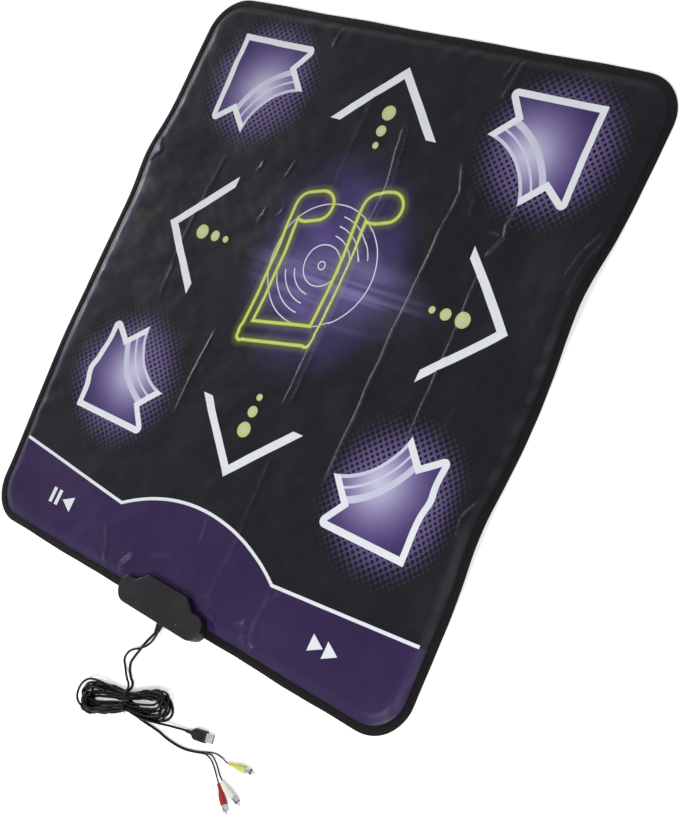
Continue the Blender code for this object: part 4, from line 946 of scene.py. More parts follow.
@dataclass(frozen=True)
class Ridge:
    """A fold left by packing, or a pucker, that stands up along a path; in millimetres."""

    path: tuple[Pair, ...]
    height: float
    width: float
    crest: float = 0.0
    fade: float = 30.0

    def rise(self, x: Array, y: Array) -> tuple[Array, Array]:
        """Give how far each point stands up, and how sharply it is creased there.

        Args:
            x: Points' places across the mat.
            y: Points' places along the mat.

        Returns:
            Heights, and creasing from 0 to 1.
        """
        x = x + 1.2 * np.sin(y / 47.0) + 0.45 * np.sin(y / 12.3 + 1.0)  # no fold runs quite straight
        nearest = np.full(np.shape(x), 1e9)
        along = np.zeros(np.shape(x))
        done = 0.0
        for start, end in zip(self.path, self.path[1:]):
            run = math.dist(start, end)
            ux, uy = (end[0] - start[0]) / run, (end[1] - start[1]) / run
            share = np.clip((x - start[0]) * ux + (y - start[1]) * uy, 0.0, run)
            away = np.hypot(x - start[0] - share * ux, y - start[1] - share * uy)
            closer = away < nearest
            nearest = np.where(closer, away, nearest)
            along = np.where(closer, done + share, along)
            done += run
        ends = smooth_step(along, 0.0, self.fade) * smooth_step(done - along, 0.0, self.fade)
        slope = np.clip(1.0 - (nearest - self.crest) / self.width, 0.0, 1.0)
        top = np.where(slope < 1.0, slope**1.7, 1.0)
        edge = np.exp(-(((nearest - self.crest) / 1.3) ** 2))
        return self.height * ends * top, ends * edge * min(1.0, self.height / 2.0)


@dataclass(frozen=True)
class Tug:
    """A stretch of one long edge that is pulled sideways and lifted; in millimetres."""

    at: float
    spread: float
    pull: float
    lift: float = 0.0

    def share(self, y: Array) -> Array:
        """How much of the tug a place along the edge feels."""
        return np.exp(-0.5 * ((y - self.at) / self.spread) ** 2)


@dataclass(frozen=True)
class MatRelief:
    """How the whole mat lies: pulled edges, lifted waves, packing folds and puckers; in millimetres."""

    half_width: float = 420.0
    half_length: float = 455.0
    corner: float = 62.0
    flange: float = 3.0
    face: float = 8.1
    slope: Pair = (7.0, 27.0)
    back_edge: tuple[Tug, ...] = (
        Tug(-20.0, 215.0, 8.0),
        Tug(-145.0, 55.0, 4.8, 12.0),
        Tug(175.0, 50.0, 3.3, 8.0),
    )
    start_edge: tuple[Tug, ...] = (
        Tug(-10.0, 190.0, 9.0),
        Tug(-175.0, 34.0, 2.0, 5.0),
        Tug(150.0, 50.0, 0.5, 3.0),
        Tug(400.0, 60.0, -6.0),
    )
    folds: tuple[Ridge, ...] = (
        # long folds left by packing
        Ridge(((-165, 205), (-163, 40), (-168, -120), (-170, -240), (-150, -290)), 2.3, 5),
        Ridge(((-253, 110), (-257, -40), (-250, -161)), 1.5, 5),
        Ridge(((-264, -245), (-259, -211), (-264, -196), (-249, -160)), 3, 6.5, fade=12),
        Ridge(((-263, -197), (-234, -196)), 2, 6, fade=12),
        Ridge(((-48, 127), (-53, -40), (-56, -207), (-38, -320)), 2.2, 4, 4.5),
        Ridge(((133, 203), (134, 130), (131, 50)), 1.6, 4.5),
        Ridge(((-300, 250), (-296, 120), (-302, 20)), 0.8, 8),
        Ridge(((-62, 420), (-70, 330), (-66, 180)), 0.9, 8),
        Ridge(((262, 60), (268, -60), (260, -210)), 0.8, 8),
        Ridge(((34, -150), (40, -260), (32, -390)), 0.7, 9),
        # short crumples
        Ridge(((141, -112), (134, -144)), 2, 4.5, fade=12),
        Ridge(((130, -188), (125, -224)), 2, 4.5, fade=12),
        Ridge(((109, -128), (103, -152)), 1.5, 4.5, fade=10),
        Ridge(((188, -184), (182, -212)), 1.5, 4.5, fade=10),
        Ridge(((-175, -250), (-196, -232), (-200, -205)), 1.4, 6, fade=12),
        # puckers drawn in by the seams
        Ridge(((-178, -440), (-177, -404), (-170, -374)), 2.6, 6, fade=14),
        Ridge(((-168, -440), (-160, -400)), 1.6, 5, fade=12),
        Ridge(((150, -398), (145, -442)), 1.8, 6, fade=12),
        Ridge(((-384, -165), (-389, -209), (-401, -242)), 2, 3, fade=16),
        Ridge(((-399, -140), (-400, -204), (-406, -240)), 1.2, 2.6, fade=16),
        Ridge(((-395, 190), (-388, 158), (-399, 128)), 1.2, 3, fade=14),
        Ridge(((404, -150), (386, -176), (404, -204)), 2, 7, fade=14),
        # puckers in the band along the box side
        Ridge(((-155, 430), (-157, 340)), 1.5, 5),
        Ridge(((-14, 352), (-6, 306)), 1.4, 5, fade=16),
        Ridge(((99, 442), (104, 421), (90, 396)), 2.9, 6, fade=16),
        Ridge(((128, 442), (148, 418)), 2.3, 6.5, fade=14),
        Ridge(((143, 443), (160, 426)), 1.9, 6, fade=14),
        Ridge(((137, 425), (150, 406), (169, 380)), 1.8, 7, fade=18),
        Ridge(((9, 378), (38, 383), (72, 400)), 1.2, 8, fade=24),
        Ridge(((-83, 417), (-74, 406), (-40, 404)), 2.3, 6.5, fade=16),
        Ridge(((-110, 440), (-88, 424), (-72, 424)), 2.3, 7, fade=16),
        Ridge(((-153, 441), (-136, 396)), 2.4, 7, fade=18),
        Ridge(((-168, 442), (-150, 392)), 2.2, 6.5, fade=18),
        Ridge(((-117, 418), (-136, 411), (-156, 410)), 1.5, 7, fade=16),
        Ridge(((-158, 366), (-180, 338)), 1.3, 8, fade=18),
    )
    # places where the print is dragged outwards, as x, y and how far
    drags: tuple[Triple, ...] = ((-332.0, 158.0, -5.0), (334.0, 186.0, 7.0), (334.0, 132.0, -3.0))
    print_off: float = 10.0
    # low waves across the mat, as y, spread and height
    waves: tuple[Triple, ...] = ((-155.0, 34.0, 4.2), (175.0, 40.0, 2.6))
    # swells and ripples of the skin, as their number, shortest and longest wave, and height
    ripples: tuple[tuple[int, float, float, float], ...] = (
        (7, 120.0, 260.0, 0.34),
        (9, 45.0, 95.0, 0.13),
        (9, 20.0, 42.0, 0.045),
    )
    ripple_level: Pair = (0.7, -0.2)  # what the ripples are raised by, and their least height
    seed: int = 11
    # how far from the middle a long edge's pull and its lift begin and are full
    pulled: Pair = (330.0, 404.0)
    lifted: Pair = (270.0, 415.0)
    # the filling's plumpness near the edge, and the gathers that the seam draws in
    plumpness: float = 1.3
    gathering: float = 0.6

    def outline(self, x: Array, y: Array) -> Array:
        """How far inside the mat's rounded outline each point lies.

        Args:
            x: Places across the mat.
            y: Places along the mat.

        Returns:
            Distances from the outline, which are below zero outside it.
        """
        across = np.abs(x) - (self.half_width - self.corner)
        along = np.abs(y) - (self.half_length - self.corner)
        outer = np.hypot(np.maximum(across, 0.0), np.maximum(along, 0.0))
        return self.corner - outer - np.minimum(np.maximum(across, along), 0.0)

    def pull(self, x: Array, y: Array) -> Array:
        """How far each point is drawn sideways, which is none inside the steps.

        Args:
            x: Places across the mat.
            y: Places along the mat.

        Returns:
            Distances along x.
        """
        left = sum(tug.pull * tug.share(y) for tug in self.back_edge)
        right = sum(tug.pull * tug.share(y) for tug in self.start_edge)
        return left * smooth_step(-x, *self.pulled) + right * smooth_step(x, *self.pulled)

    def lift(self, x: Array, y: Array) -> Array:
        """How far the whole stack of layers stands off the floor.

        Args:
            x: Places across the mat.
            y: Places along the mat.

        Returns:
            Heights.
        """
        left = sum(tug.lift * tug.share(y) for tug in self.back_edge)
        right = sum(tug.lift * tug.share(y) for tug in self.start_edge)
        edges = left * smooth_step(-x, *self.lifted) + right * smooth_step(x, *self.lifted)
        across = 0.0
        for at, spread, height in self.waves:
            line = at + 16.0 * np.sin(x / 150.0) + 7.0 * np.sin(x / 61.0)
            along = 0.55 + 0.3 * np.sin(x / 83.0 + at) + 0.15 * np.sin(x / 37.0)
            across = across + height * along * np.exp(-(((y - line) / spread) ** 2))
        ends = smooth_step(self.half_width - np.abs(x), 0.0, 60.0)
        return edges + across * (0.35 + 0.65 * ends) * smooth_step(450.0 - np.abs(y), 0.0, 60.0)

    def undulation(self, x: Array, y: Array) -> Array:
        """Slow swells and finer ripples of the skin, never much below its rest height.

        Args:
            x: Places across the mat.
            y: Places along the mat.

        Returns:
            Heights.
        """
        pick = np.random.default_rng(self.seed)
        total = np.zeros(np.shape(x))
        for waves, low, high, height in self.ripples:
            for _ in range(waves):
                angle, phase = pick.uniform(0.0, math.tau, 2)
                rate = math.tau / pick.uniform(low, high)
                bent = x + 9.0 * np.sin(y * rate * 0.43 + phase)
                along = bent * math.cos(angle) + y * math.sin(angle)
                total = total + height * np.sin(rate * along + phase)
        raised, least = self.ripple_level
        return np.maximum(total + raised, least)

    def wrinkle(self, x: Array, y: Array) -> tuple[Array, Array]:
        """Give the skin's own height above its layer, and how creased it is.

        Args:
            x: Places across the mat.
            y: Places along the mat.

        Returns:
            Heights, and creasing from 0 to 1.
        """
        inside = self.outline(x, y)
        under_tongue = smooth_step(80.0 - np.abs(x), 0.0, 30.0) * smooth_step(y, 386.0, 412.0)
        height = self.undulation(x, y) * smooth_step(inside, 12.0, 36.0)
        # creasing, which the cover paints as whitening and as a painted highlight on the crests
        crease_whitening_and_glint = np.zeros(np.shape(x))
        for fold in self.folds:
            rise, sharp = fold.rise(x, y)
            height = height + rise * smooth_step(inside, 11.0, 20.0)
            crease_whitening_and_glint = np.maximum(crease_whitening_and_glint, sharp)
        round_edge = np.arctan2(y, x) * (self.half_width + 10.0)
        gather = np.sin(round_edge / 7.3 + 2.0 * np.sin(round_edge / 41.0)) * np.sin(round_edge / 63.0 + 0.6)
        near_seam = smooth_step(inside, 11.0, 18.0) * smooth_step(inside, 58.0, 20.0)
        height = height + self.gathering * gather * near_seam
        plump = self.plumpness * smooth_step(inside, 12.0, 30.0) * smooth_step(inside, 130.0, 34.0)
        return (height + plump) * (1.0 - under_tongue), crease_whitening_and_glint * (1.0 - under_tongue)

    def skin(self, x: Array, y: Array) -> Array:
        """Where each point of the top skin lies, as rows of x, y and z in metres.

        Args:
            x: Places across the mat.
            y: Places along the mat.

        Returns:
            Rows of points.
        """
        base = self.flange + (self.face - self.flange) * smooth_step(self.outline(x, y), *self.slope)
        z = base + self.lift(x, y) + self.wrinkle(x, y)[0]
        return np.stack([x + self.pull(x, y), y, z], axis=-1) * MM

    def normals(self, x: Array, y: Array, step: float = 0.6) -> Array:
        """Normals of the top skin, which neighbouring panels share.

        Args:
            x: Places across the mat.
            y: Places along the mat.
            step: How far apart the compared points are.

        Returns:
            Rows of unit vectors.
        """
        along_x = self.skin(x + step, y) - self.skin(x - step, y)
        along_y = self.skin(x, y + step) - self.skin(x, y - step)
        normal = np.cross(along_x, along_y)
        return normal / np.linalg.norm(normal, axis=-1, keepdims=True)

    def printed(self, x: Array, y: Array) -> Array:
        """Print coordinates: the middle row is a little off, and two arrows' edges are dragged out.

        Args:
            x: Places across the mat.
            y: Places along the mat.

        Returns:
            Rows of places in the print's map.
        """
        share = np.clip(1.0 - ((y - STEPS_Y) / 250.0) ** 2, 0.0, 1.0)
        moved = x + self.print_off * share**2
        for at_x, at_y, drag in self.drags:
            moved = moved - drag * np.exp(-(((x - at_x) / 26.0) ** 2) - ((y - at_y) / 17.0) ** 2)
        return np.stack([moved, y], axis=-1)

    def settle(self, points: Array) -> Array:
        """Move points of an inner layer, in metres, with the mat's pull and lift.

        Args:
            points: Rows of points of the flat layer.

        Returns:
            Rows of the moved points.
        """
        x, y = points[:, 0] / MM, points[:, 1] / MM
        moved = points.copy()
        moved[:, 0] += self.pull(x, y) * MM
        moved[:, 2] += self.lift(x, y) * MM
        return moved


# Pieces


def link_object(name: str, data: bpy.types.ID) -> Piece:
    """Link a new object with this data to the scene.

    Args:
        name: The object's name.
        data: Its mesh, curve, camera or light.

    Returns:
        The object.
    """
    made = bpy.data.objects.new(name, data)
    bpy.context.scene.collection.objects.link(made)
    return made


def place_mesh(name: str, points: Array, faces: Sequence[Sequence[int]]) -> Piece:
    """Make a smooth mesh object.

    Args:
        name: The piece's name.
        points: Rows of x, y and z, in metres.
        faces: Point numbers of each face.

    Returns:
        The object, linked to the scene.
    """
    mesh = bpy.data.meshes.new(name)
    rows = [tuple(map(float, point)) for point in points]
    mesh.from_pydata(rows, [], [tuple(map(int, face)) for face in faces])
    mesh.polygons.foreach_set("use_smooth", [True] * len(mesh.polygons))
    return link_object(name, mesh)


def tube(rings: int, sides: int, first: int = 0, capped: bool = True) -> list[tuple[int, ...]]:
    """Give the faces of a tube whose rings of points follow each other.

    Args:
        rings: How many rings there are.
        sides: How many points each ring has.
        first: Number of the first ring's first point.
        capped: Whether the two ends are closed.

    Returns:
        Point numbers of each face.
    """
    last = first + (rings - 1) * sides
    faces = [
        (ring + k, ring + (k + 1) % sides, ring + sides + (k + 1) % sides, ring + sides + k)
        for ring in range(first, last, sides)
        for k in range(sides)
    ]
    if capped:
        faces += [tuple(range(first, first + sides))[::-1], tuple(range(last, last + sides))]
    return faces


def lengths(points: Array) -> Array:
    """How far along a path each of its points lies."""
    return np.concatenate([[0.0], np.cumsum(np.linalg.norm(np.diff(points, axis=0), axis=1))])


def map_points(mesh: bpy.types.Mesh, name: str, places: Array) -> None:
    """Lay a mesh out in a named map, by its points' places in it.

    Args:
        mesh: The mesh.
        name: The map's name.
        places: A row for each of the mesh's points.
    """
    layer = mesh.uv_layers.new(name=name)
    corners = np.empty(len(mesh.loops), np.int32)
    mesh.loops.foreach_get("vertex_index", corners)
    layer.data.foreach_set("uv", places[corners].astype(np.float32).ravel())


class Layer(Enum):
    """The mat's inner layers, by CAD node."""

    BOTTOM = "bottom_sheet"
    LOWER_FILM = "lower_contact_film"
    SPACER = "spacer_foam"
    UPPER_FILM = "upper_contact_film"
    CUSHION = "cushion_foam"


class Side(Enum):
    """The panels over a step: its top, and the flanks that join it to the mat."""

    TOP = "top"
    EAST = "east"
    WEST = "west"
    NORTH = "north"
    SOUTH = "south"


@dataclass(frozen=True)
class StepPad:
    """One step of the mat, read from its CAD pad: its rectangle and its flanks' widths, in millimetres."""

    name: str
    low: Pair
    high: Pair
    flank: Pair

    @classmethod
    def read(cls, name: str, outermost: float = 345.0) -> "StepPad":
        """Read a step from the frame, with its outer edge on the grid line that the big steps share.

        Args:
            name: The step's name.
            outermost: How far from the middle its outer edge may be.

        Returns:
            The step.
        """
        low, high = ((round(x / MM), round(y / MM)) for x, y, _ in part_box("step_pad_" + name))
        low, high = ((math.copysign(min(abs(x), outermost), x), y) for x, y in (low, high))
        return cls(name, low, high, (20.0, 12.0) if name in ("start", "back") else (20.0, 20.0))

    @property
    def middle(self) -> Pair:
        """The middle of the rectangle."""
        return (self.low[0] + self.high[0]) / 2, (self.low[1] + self.high[1]) / 2

    @property
    def body(self) -> str:
        """The CAD body that the step moves with."""
        return self.name + "_pad"

    def reach(self, x: float, y: float) -> Pair:
        """How many flank widths a point lies outside the pad's rectangle, each way.

        Args:
            x: Place across the mat.
            y: Place along the mat.

        Returns:
            Shares of a flank's width, which are below zero inside the pad.
        """
        middle = self.middle
        across = abs(x - middle[0]) - (self.high[0] - self.low[0]) / 2
        along = abs(y - middle[1]) - (self.high[1] - self.low[1]) / 2
        return across / self.flank[0], along / self.flank[1]

    def side(self, x: float, y: float) -> Side | None:
        """Find the panel that covers a point: the top, one of four mitred flanks, or none.

        Args:
            x: Place across the mat.
            y: Place along the mat.

        Returns:
            The panel's side, or none.
        """
        across, along = self.reach(x, y)
        if max(across, along) > 1.0:
            return None
        if max(across, along) <= 0.0:
            return Side.TOP
        if across > along:
            return Side.EAST if x > self.middle[0] else Side.WEST
        return Side.NORTH if y > self.middle[1] else Side.SOUTH

    def run(self, side: Side) -> tuple[Pair, Pair]:
        """Where a flank starts, at the mat, and ends, at the step.

        Args:
            side: The flank's side.

        Returns:
            Its start and its end.
        """
        x, y = self.middle
        return {
            Side.EAST: ((self.high[0] + self.flank[0], y), (self.high[0], y)),
            Side.WEST: ((self.low[0] - self.flank[0], y), (self.low[0], y)),
            Side.NORTH: ((x, self.high[1] + self.flank[1]), (x, self.high[1])),
            Side.SOUTH: ((x, self.low[1] - self.flank[1]), (x, self.low[1])),
        }[side]


Panel = tuple[StepPad | None, Side]
Face = tuple[int, ...]


@dataclass
class TopCover:
    """Printed skin of the mat: one panel for the mat, and five for each step, of which the top rides on the
    step.
    """

    relief: MatRelief
    finish: PrintedVinyl
    cell: float = 3.3
    fold_cell: float = 1.3
    fold_bands: tuple[Pair, ...] = (
        (-412.0, -378.0),
        (-272.0, -240.0),
        (-177.0, -158.0),
        (-66.0, -34.0),
        (123.0, 135.0),
    )
    hem: float = 6.0
    flank_cells: int = 5
    notch_half: float = 79.0
    notch_y: float = 437.0

    def lines(self, keys: Sequence[float], flanks: set[Pair], fine: bool) -> Array:
        """Rule lines through the keys, with equal counts in the flanks and more over the long folds.

        Args:
            keys: Places that need a line.
            flanks: Stretches that are flanks.
            fine: Whether the folds run along these lines.

        Returns:
            The lines' places, in order.
        """
        keys = sorted(set(keys))
        ruled = [keys[0]]
        for low, high in zip(keys, keys[1:]):
            folded = fine and any(a <= low and high <= b for a, b in self.fold_bands)
            count = max(1, round((high - low) / (self.fold_cell if folded else self.cell)))
            count = self.flank_cells if (low, high) in flanks else count
            ruled.extend(np.linspace(low, high, count + 1)[1:])
        return np.array(ruled)

    def grid(self, pads: Sequence[StepPad]) -> tuple[Array, Array]:
        """Rule the whole cover along the steps' edges and flanks.

        Args:
            pads: The mat's steps.

        Returns:
            Places of the lines across, and of those along.
        """
        ruled = []
        for axis, half in ((0, self.relief.half_width), (1, self.relief.half_length)):
            keys, flanks = [self.hem - half, half - self.hem], set()
            for pad in pads:
                low, high, wide = pad.low[axis], pad.high[axis], pad.flank[axis]
                keys += [low - wide, low, high, high + wide]
                flanks |= {(low - wide, low), (high, high + wide)}
            bands = [place for band in self.fold_bands for place in band]
            keys += [-self.notch_half, self.notch_half, *bands] if axis == 0 else [self.notch_y]
            ruled.append(self.lines(keys, flanks, axis == 0))
        return ruled[0], ruled[1]

    def round_corners(self, points: Array) -> Array:
        """Press the square corners of the grid into the mat's round ones.

        Args:
            points: Rows of x and y.

        Returns:
            Rows of the moved points.
        """
        radius = self.relief.corner - self.hem
        limits = np.array([self.relief.half_width, self.relief.half_length]) - self.relief.corner
        over = np.maximum(np.abs(points) - limits, 0.0) / radius
        most, least = over.max(axis=1), over.min(axis=1)
        angle = np.where(most > 0, least / np.maximum(most, 1e-9), 0.0) * math.pi / 4
        long, short = most * np.cos(angle), most * np.sin(angle)
        flat_way = over[:, :1] >= over[:, 1:]
        placed = np.where(flat_way, np.stack([long, short], 1), np.stack([short, long], 1))
        inner = np.minimum(np.abs(points), limits)
        return np.sign(points) * (inner + placed * radius)

    def build(self, pads: Sequence[StepPad]) -> list[Piece]:
        """Make the cover's panels.

        Args:
            pads: The steps under it.

        Returns:
            The mat's panel first, then the steps' tops and flanks.
        """
        columns, rows = self.grid(pads)
        x, y = self.round_corners(np.stack([part.ravel() for part in np.meshgrid(columns, rows)], 1)).T
        points, normals = self.relief.skin(x, y), self.relief.normals(x, y)
        crease_whitening_and_glint, printed = self.relief.wrinkle(x, y)[1], self.relief.printed(x, y)
        made = []
        for (pad, side), faces in self.panels(pads, columns, rows).items():
            used = sorted({point for face in faces for point in face})
            index = {point: k for k, point in enumerate(used)}
            name = f"cover_{pad.name}_{side.value}" if pad else "cover_skin"
            piece = place_mesh(name, points[used], [[index[p] for p in face] for face in faces])
            map_points(piece.data, "print", printed[used])
            # creasing, which the cover's material paints as whitening and a painted highlight
            layer = piece.data.attributes.new("crease_whitening_and_glint", "FLOAT", "POINT")
            layer.data.foreach_set("value", crease_whitening_and_glint[used].astype(np.float32))
            piece.data.normals_split_custom_set_from_vertices(normals[used].tolist())
            self.finish.dress(piece)
            self.attach(piece, pad, side)
            made.append(piece)
        return made

    def panels(self, pads: Sequence[StepPad], columns: Array, rows: Array) -> dict[Panel, list[Face]]:
        """Sort the grid's faces by the panel that they belong to, the mat's own first.

        Args:
            pads: The mat's steps.
            columns: Places of the grid's columns.
            rows: Places of its rows.

        Returns:
            The faces of each panel.
        """
        panels: dict[Panel, list[Face]] = {(None, Side.TOP): []}
        wide = len(columns)
        for row, y in enumerate((rows[:-1] + rows[1:]) / 2):
            for column, x in enumerate((columns[:-1] + columns[1:]) / 2):
                if y > self.notch_y and abs(x) < self.notch_half:
                    continue
                corner = row * wide + column
                quad = (corner, corner + 1, corner + wide + 1, corner + wide)
                for part in self.halves(pads, quad, x, y):
                    across, up = [columns[p % wide] for p in part], [rows[p // wide] for p in part]
                    middle = [np.mean(across), np.mean(up)]
                    panels.setdefault(self.panel(pads, *middle), []).append(part)
        return panels

    def halves(self, pads: Sequence[StepPad], quad: Face, x: float, y: float) -> list[Face]:
        """Cut a cell in two along a flank's mitre, where it lies on one.

        Args:
            pads: The mat's steps.
            quad: The cell's point numbers.
            x: Place of its middle across.
            y: Place of its middle along.

        Returns:
            Its two halves, or the whole cell.
        """
        for pad in pads:
            over_x, over_y = pad.reach(x, y)
            if 0.0 < over_x < 1.0 and abs(over_x - over_y) < 0.02:
                rising = (x > pad.low[0]) == (y > pad.low[1])
                a, b, c, d = quad
                return [(a, b, c), (a, c, d)] if rising else [(a, b, d), (b, c, d)]
        return [quad]

    def panel(self, pads: Sequence[StepPad], x: float, y: float) -> Panel:
        """Give the step and side that a place belongs to, or none for the mat.

        Args:
            pads: The mat's steps.
            x: Place across the mat.
            y: Place along the mat.

        Returns:
            The panel.
        """
        for pad in pads:
            side = pad.side(x, y)
            if side:
                return pad, side
        return None, Side.TOP

    def attach(self, piece: Piece, pad: StepPad | None, side: Side) -> None:
        """Let the mat's panel ride on the mat and a step's top on its step; a flank is only fixed in place,
        riding on neither.

        Args:
            piece: The panel's piece.
            pad: Its step, or none.
            side: Its side.
        """
        if pad is None:
            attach(piece, "mat")
        elif side is Side.TOP:
            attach(piece, pad.body)
        else:
            start, end = ((x * MM, y * MM, self.relief.face * MM) for x, y in pad.run(side))
            pad.body
            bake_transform(piece)


@dataclass
class EdgeTape:
    """Woven tape folded round the mat's edge from one side of the box to the other, and its stitching."""

    relief: MatRelief
    tape: Tape
    thread: Tape
    start: float = 84.4
    step: float = 7.0
    bends: int = 14
    stitch: float = 3.1
    pitch: float = 4.4
    stitch_inset: float = 9.4
    stitch_height: float = 4.05
    thread_radius: float = 0.33
    # the folded tape's section, as how far in from the edge and how high
    profile: tuple[Pair, ...] = (
        (12.0, 2.9), (12.1, 3.9), (11.1, 4.3), (9.4, 3.95), (7.6, 4.5), (5.0, 4.75), (2.6, 4.5),
        (0.9, 3.8), (0.1, 2.6), (0.2, 1.3), (1.2, 0.35), (3.4, 0.05), (9.4, 0.05), (12.0, 0.1),
    )
    # one stitch, as a share of its length and the thread's rise
    arch: tuple[Pair, ...] = ((0.0, -0.25), (0.14, 0.26), (0.5, 0.42), (0.86, 0.26), (1.0, -0.25))
    thread_sides: int = 6

    def edge(self) -> tuple[Array, Array]:
        """Walk round the outline from the box's start side to its back side.

        Returns:
            Places in millimetres, and the inward direction at each.
        """
        right, top, radius = self.relief.half_width, self.relief.half_length, self.relief.corner
        x, y = right - radius, top - radius
        sides = (
            ((self.start, top), (x, top), (x, y)),
            ((right, y), (right, -y), (x, -y)),
            ((x, -top), (-x, -top), (-x, -y)),
            ((-right, -y), (-right, y), (-x, y)),
            ((-x, top), (-self.start, top), None),
        )
        places, inward = [], []
        for quarter, (start, end, centre) in enumerate(sides):
            count = max(2, round(math.dist(start, end) / self.step))
            share = np.arange(count)[:, None] / count
            places.append(start + np.subtract(end, start) * share)
            turns = 90.0 - 90.0 * quarter - 90.0 * np.arange(self.bends) / self.bends
            out = np.column_stack([np.cos(np.radians(turns)), np.sin(np.radians(turns))])
            inward.append(np.repeat(-out[:1], count, axis=0))
            if centre:
                places.append(centre + radius * out)
                inward.append(-out)
        return np.vstack([*places, end]), np.vstack([*inward, inward[-1][-1:]])

    def laid(self, places: Array, height: Array) -> Array:
        """Lay places of the flat tape where the edge lies, in metres."""
        return self.relief.settle(np.column_stack([places, height]) * MM)

    def build(self) -> list[Piece]:
        """Sweep the tape and sew the stitches.

        Returns:
            The tape and its stitches.
        """
        places, inward = self.edge()
        along = lengths(places)
        rows, weave = [], []
        for k, ((inset, height), width) in enumerate(zip(self.profile, lengths(np.array(self.profile)))):
            wave = 0.35 * np.sin(along / 23.0 + k * 0.4) + 0.25 * np.sin(along / 9.0 + 1.3)
            frayed = inset + 0.5 * np.sin(along / 31.0) + 0.4 * wave
            lifted = height + 0.3 * wave * (height > 3.0)
            rows.append(self.laid(places + inward * frayed[:, None], np.maximum(lifted, 0.0)))
            weave.append(np.column_stack([along, np.full(len(along), width)]) * MM)
        tape = self.sweep("edge_tape", rows, weave, tube(len(along), len(rows)), self.tape)
        return [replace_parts(tape, "edge_binding"), self.sew(places, inward, along)]

    def sweep(self, name: str, rows: Sequence[Array], weave: Sequence[Array], faces: Sequence[Sequence[int]],
              finish: Tape) -> Piece:
        """Make a woven piece from rows of points that run side by side.

        Args:
            name: The piece's name.
            rows: Each row's points, in metres.
            weave: Each row's places in the map named weave.
            faces: Faces through the points, taken across all rows first.
            finish: The piece's finish.

        Returns:
            The piece, which rides on the mat.
        """
        piece = place_mesh(name, np.stack(rows, 1).reshape(-1, 3), faces)
        map_points(piece.data, "weave", np.stack(weave, 1).reshape(-1, 2))
        finish.dress(piece)
        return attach(piece, "mat")

    def sew(self, places: Array, inward: Array, along: Array) -> Piece:
        """Sew one row of stitches along the tape's inner edge, each a short arched thread.

        Args:
            places: Places along the mat's edge.
            inward: The inward direction at each.
            along: How far along the edge each is.

        Returns:
            The stitches as one piece.
        """
        starts = np.arange(3.0, along[-1] - self.stitch, self.pitch)
        rows, weave = [], []
        for share, rise in self.arch:
            at = starts + share * self.stitch
            seam, way = (np.column_stack([np.interp(at, along, part) for part in side.T])
                         for side in (places, inward))
            flat = 0.55 if share in (0.0, 1.0) else 1.0  # the thread goes into the tape at both ends
            for turn in range(self.thread_sides):
                angle = math.tau * turn / self.thread_sides
                off = self.stitch_inset + self.thread_radius * math.cos(angle) + 0.25 * (share - 0.5)
                high = self.stitch_height + rise + self.thread_radius * math.sin(angle) * flat
                rows.append(self.laid(seam + way * off, np.full(len(at), high)))
                weave.append(np.column_stack([at, np.full(len(at), turn * 0.35)]) * MM)
        faces = [
            face[::-1]
            for stitch in range(len(starts))
            for face in tube(len(self.arch), self.thread_sides, stitch * len(rows), capped=False)
        ]
        return self.sweep("edge_stitches", rows, weave, faces, self.thread)


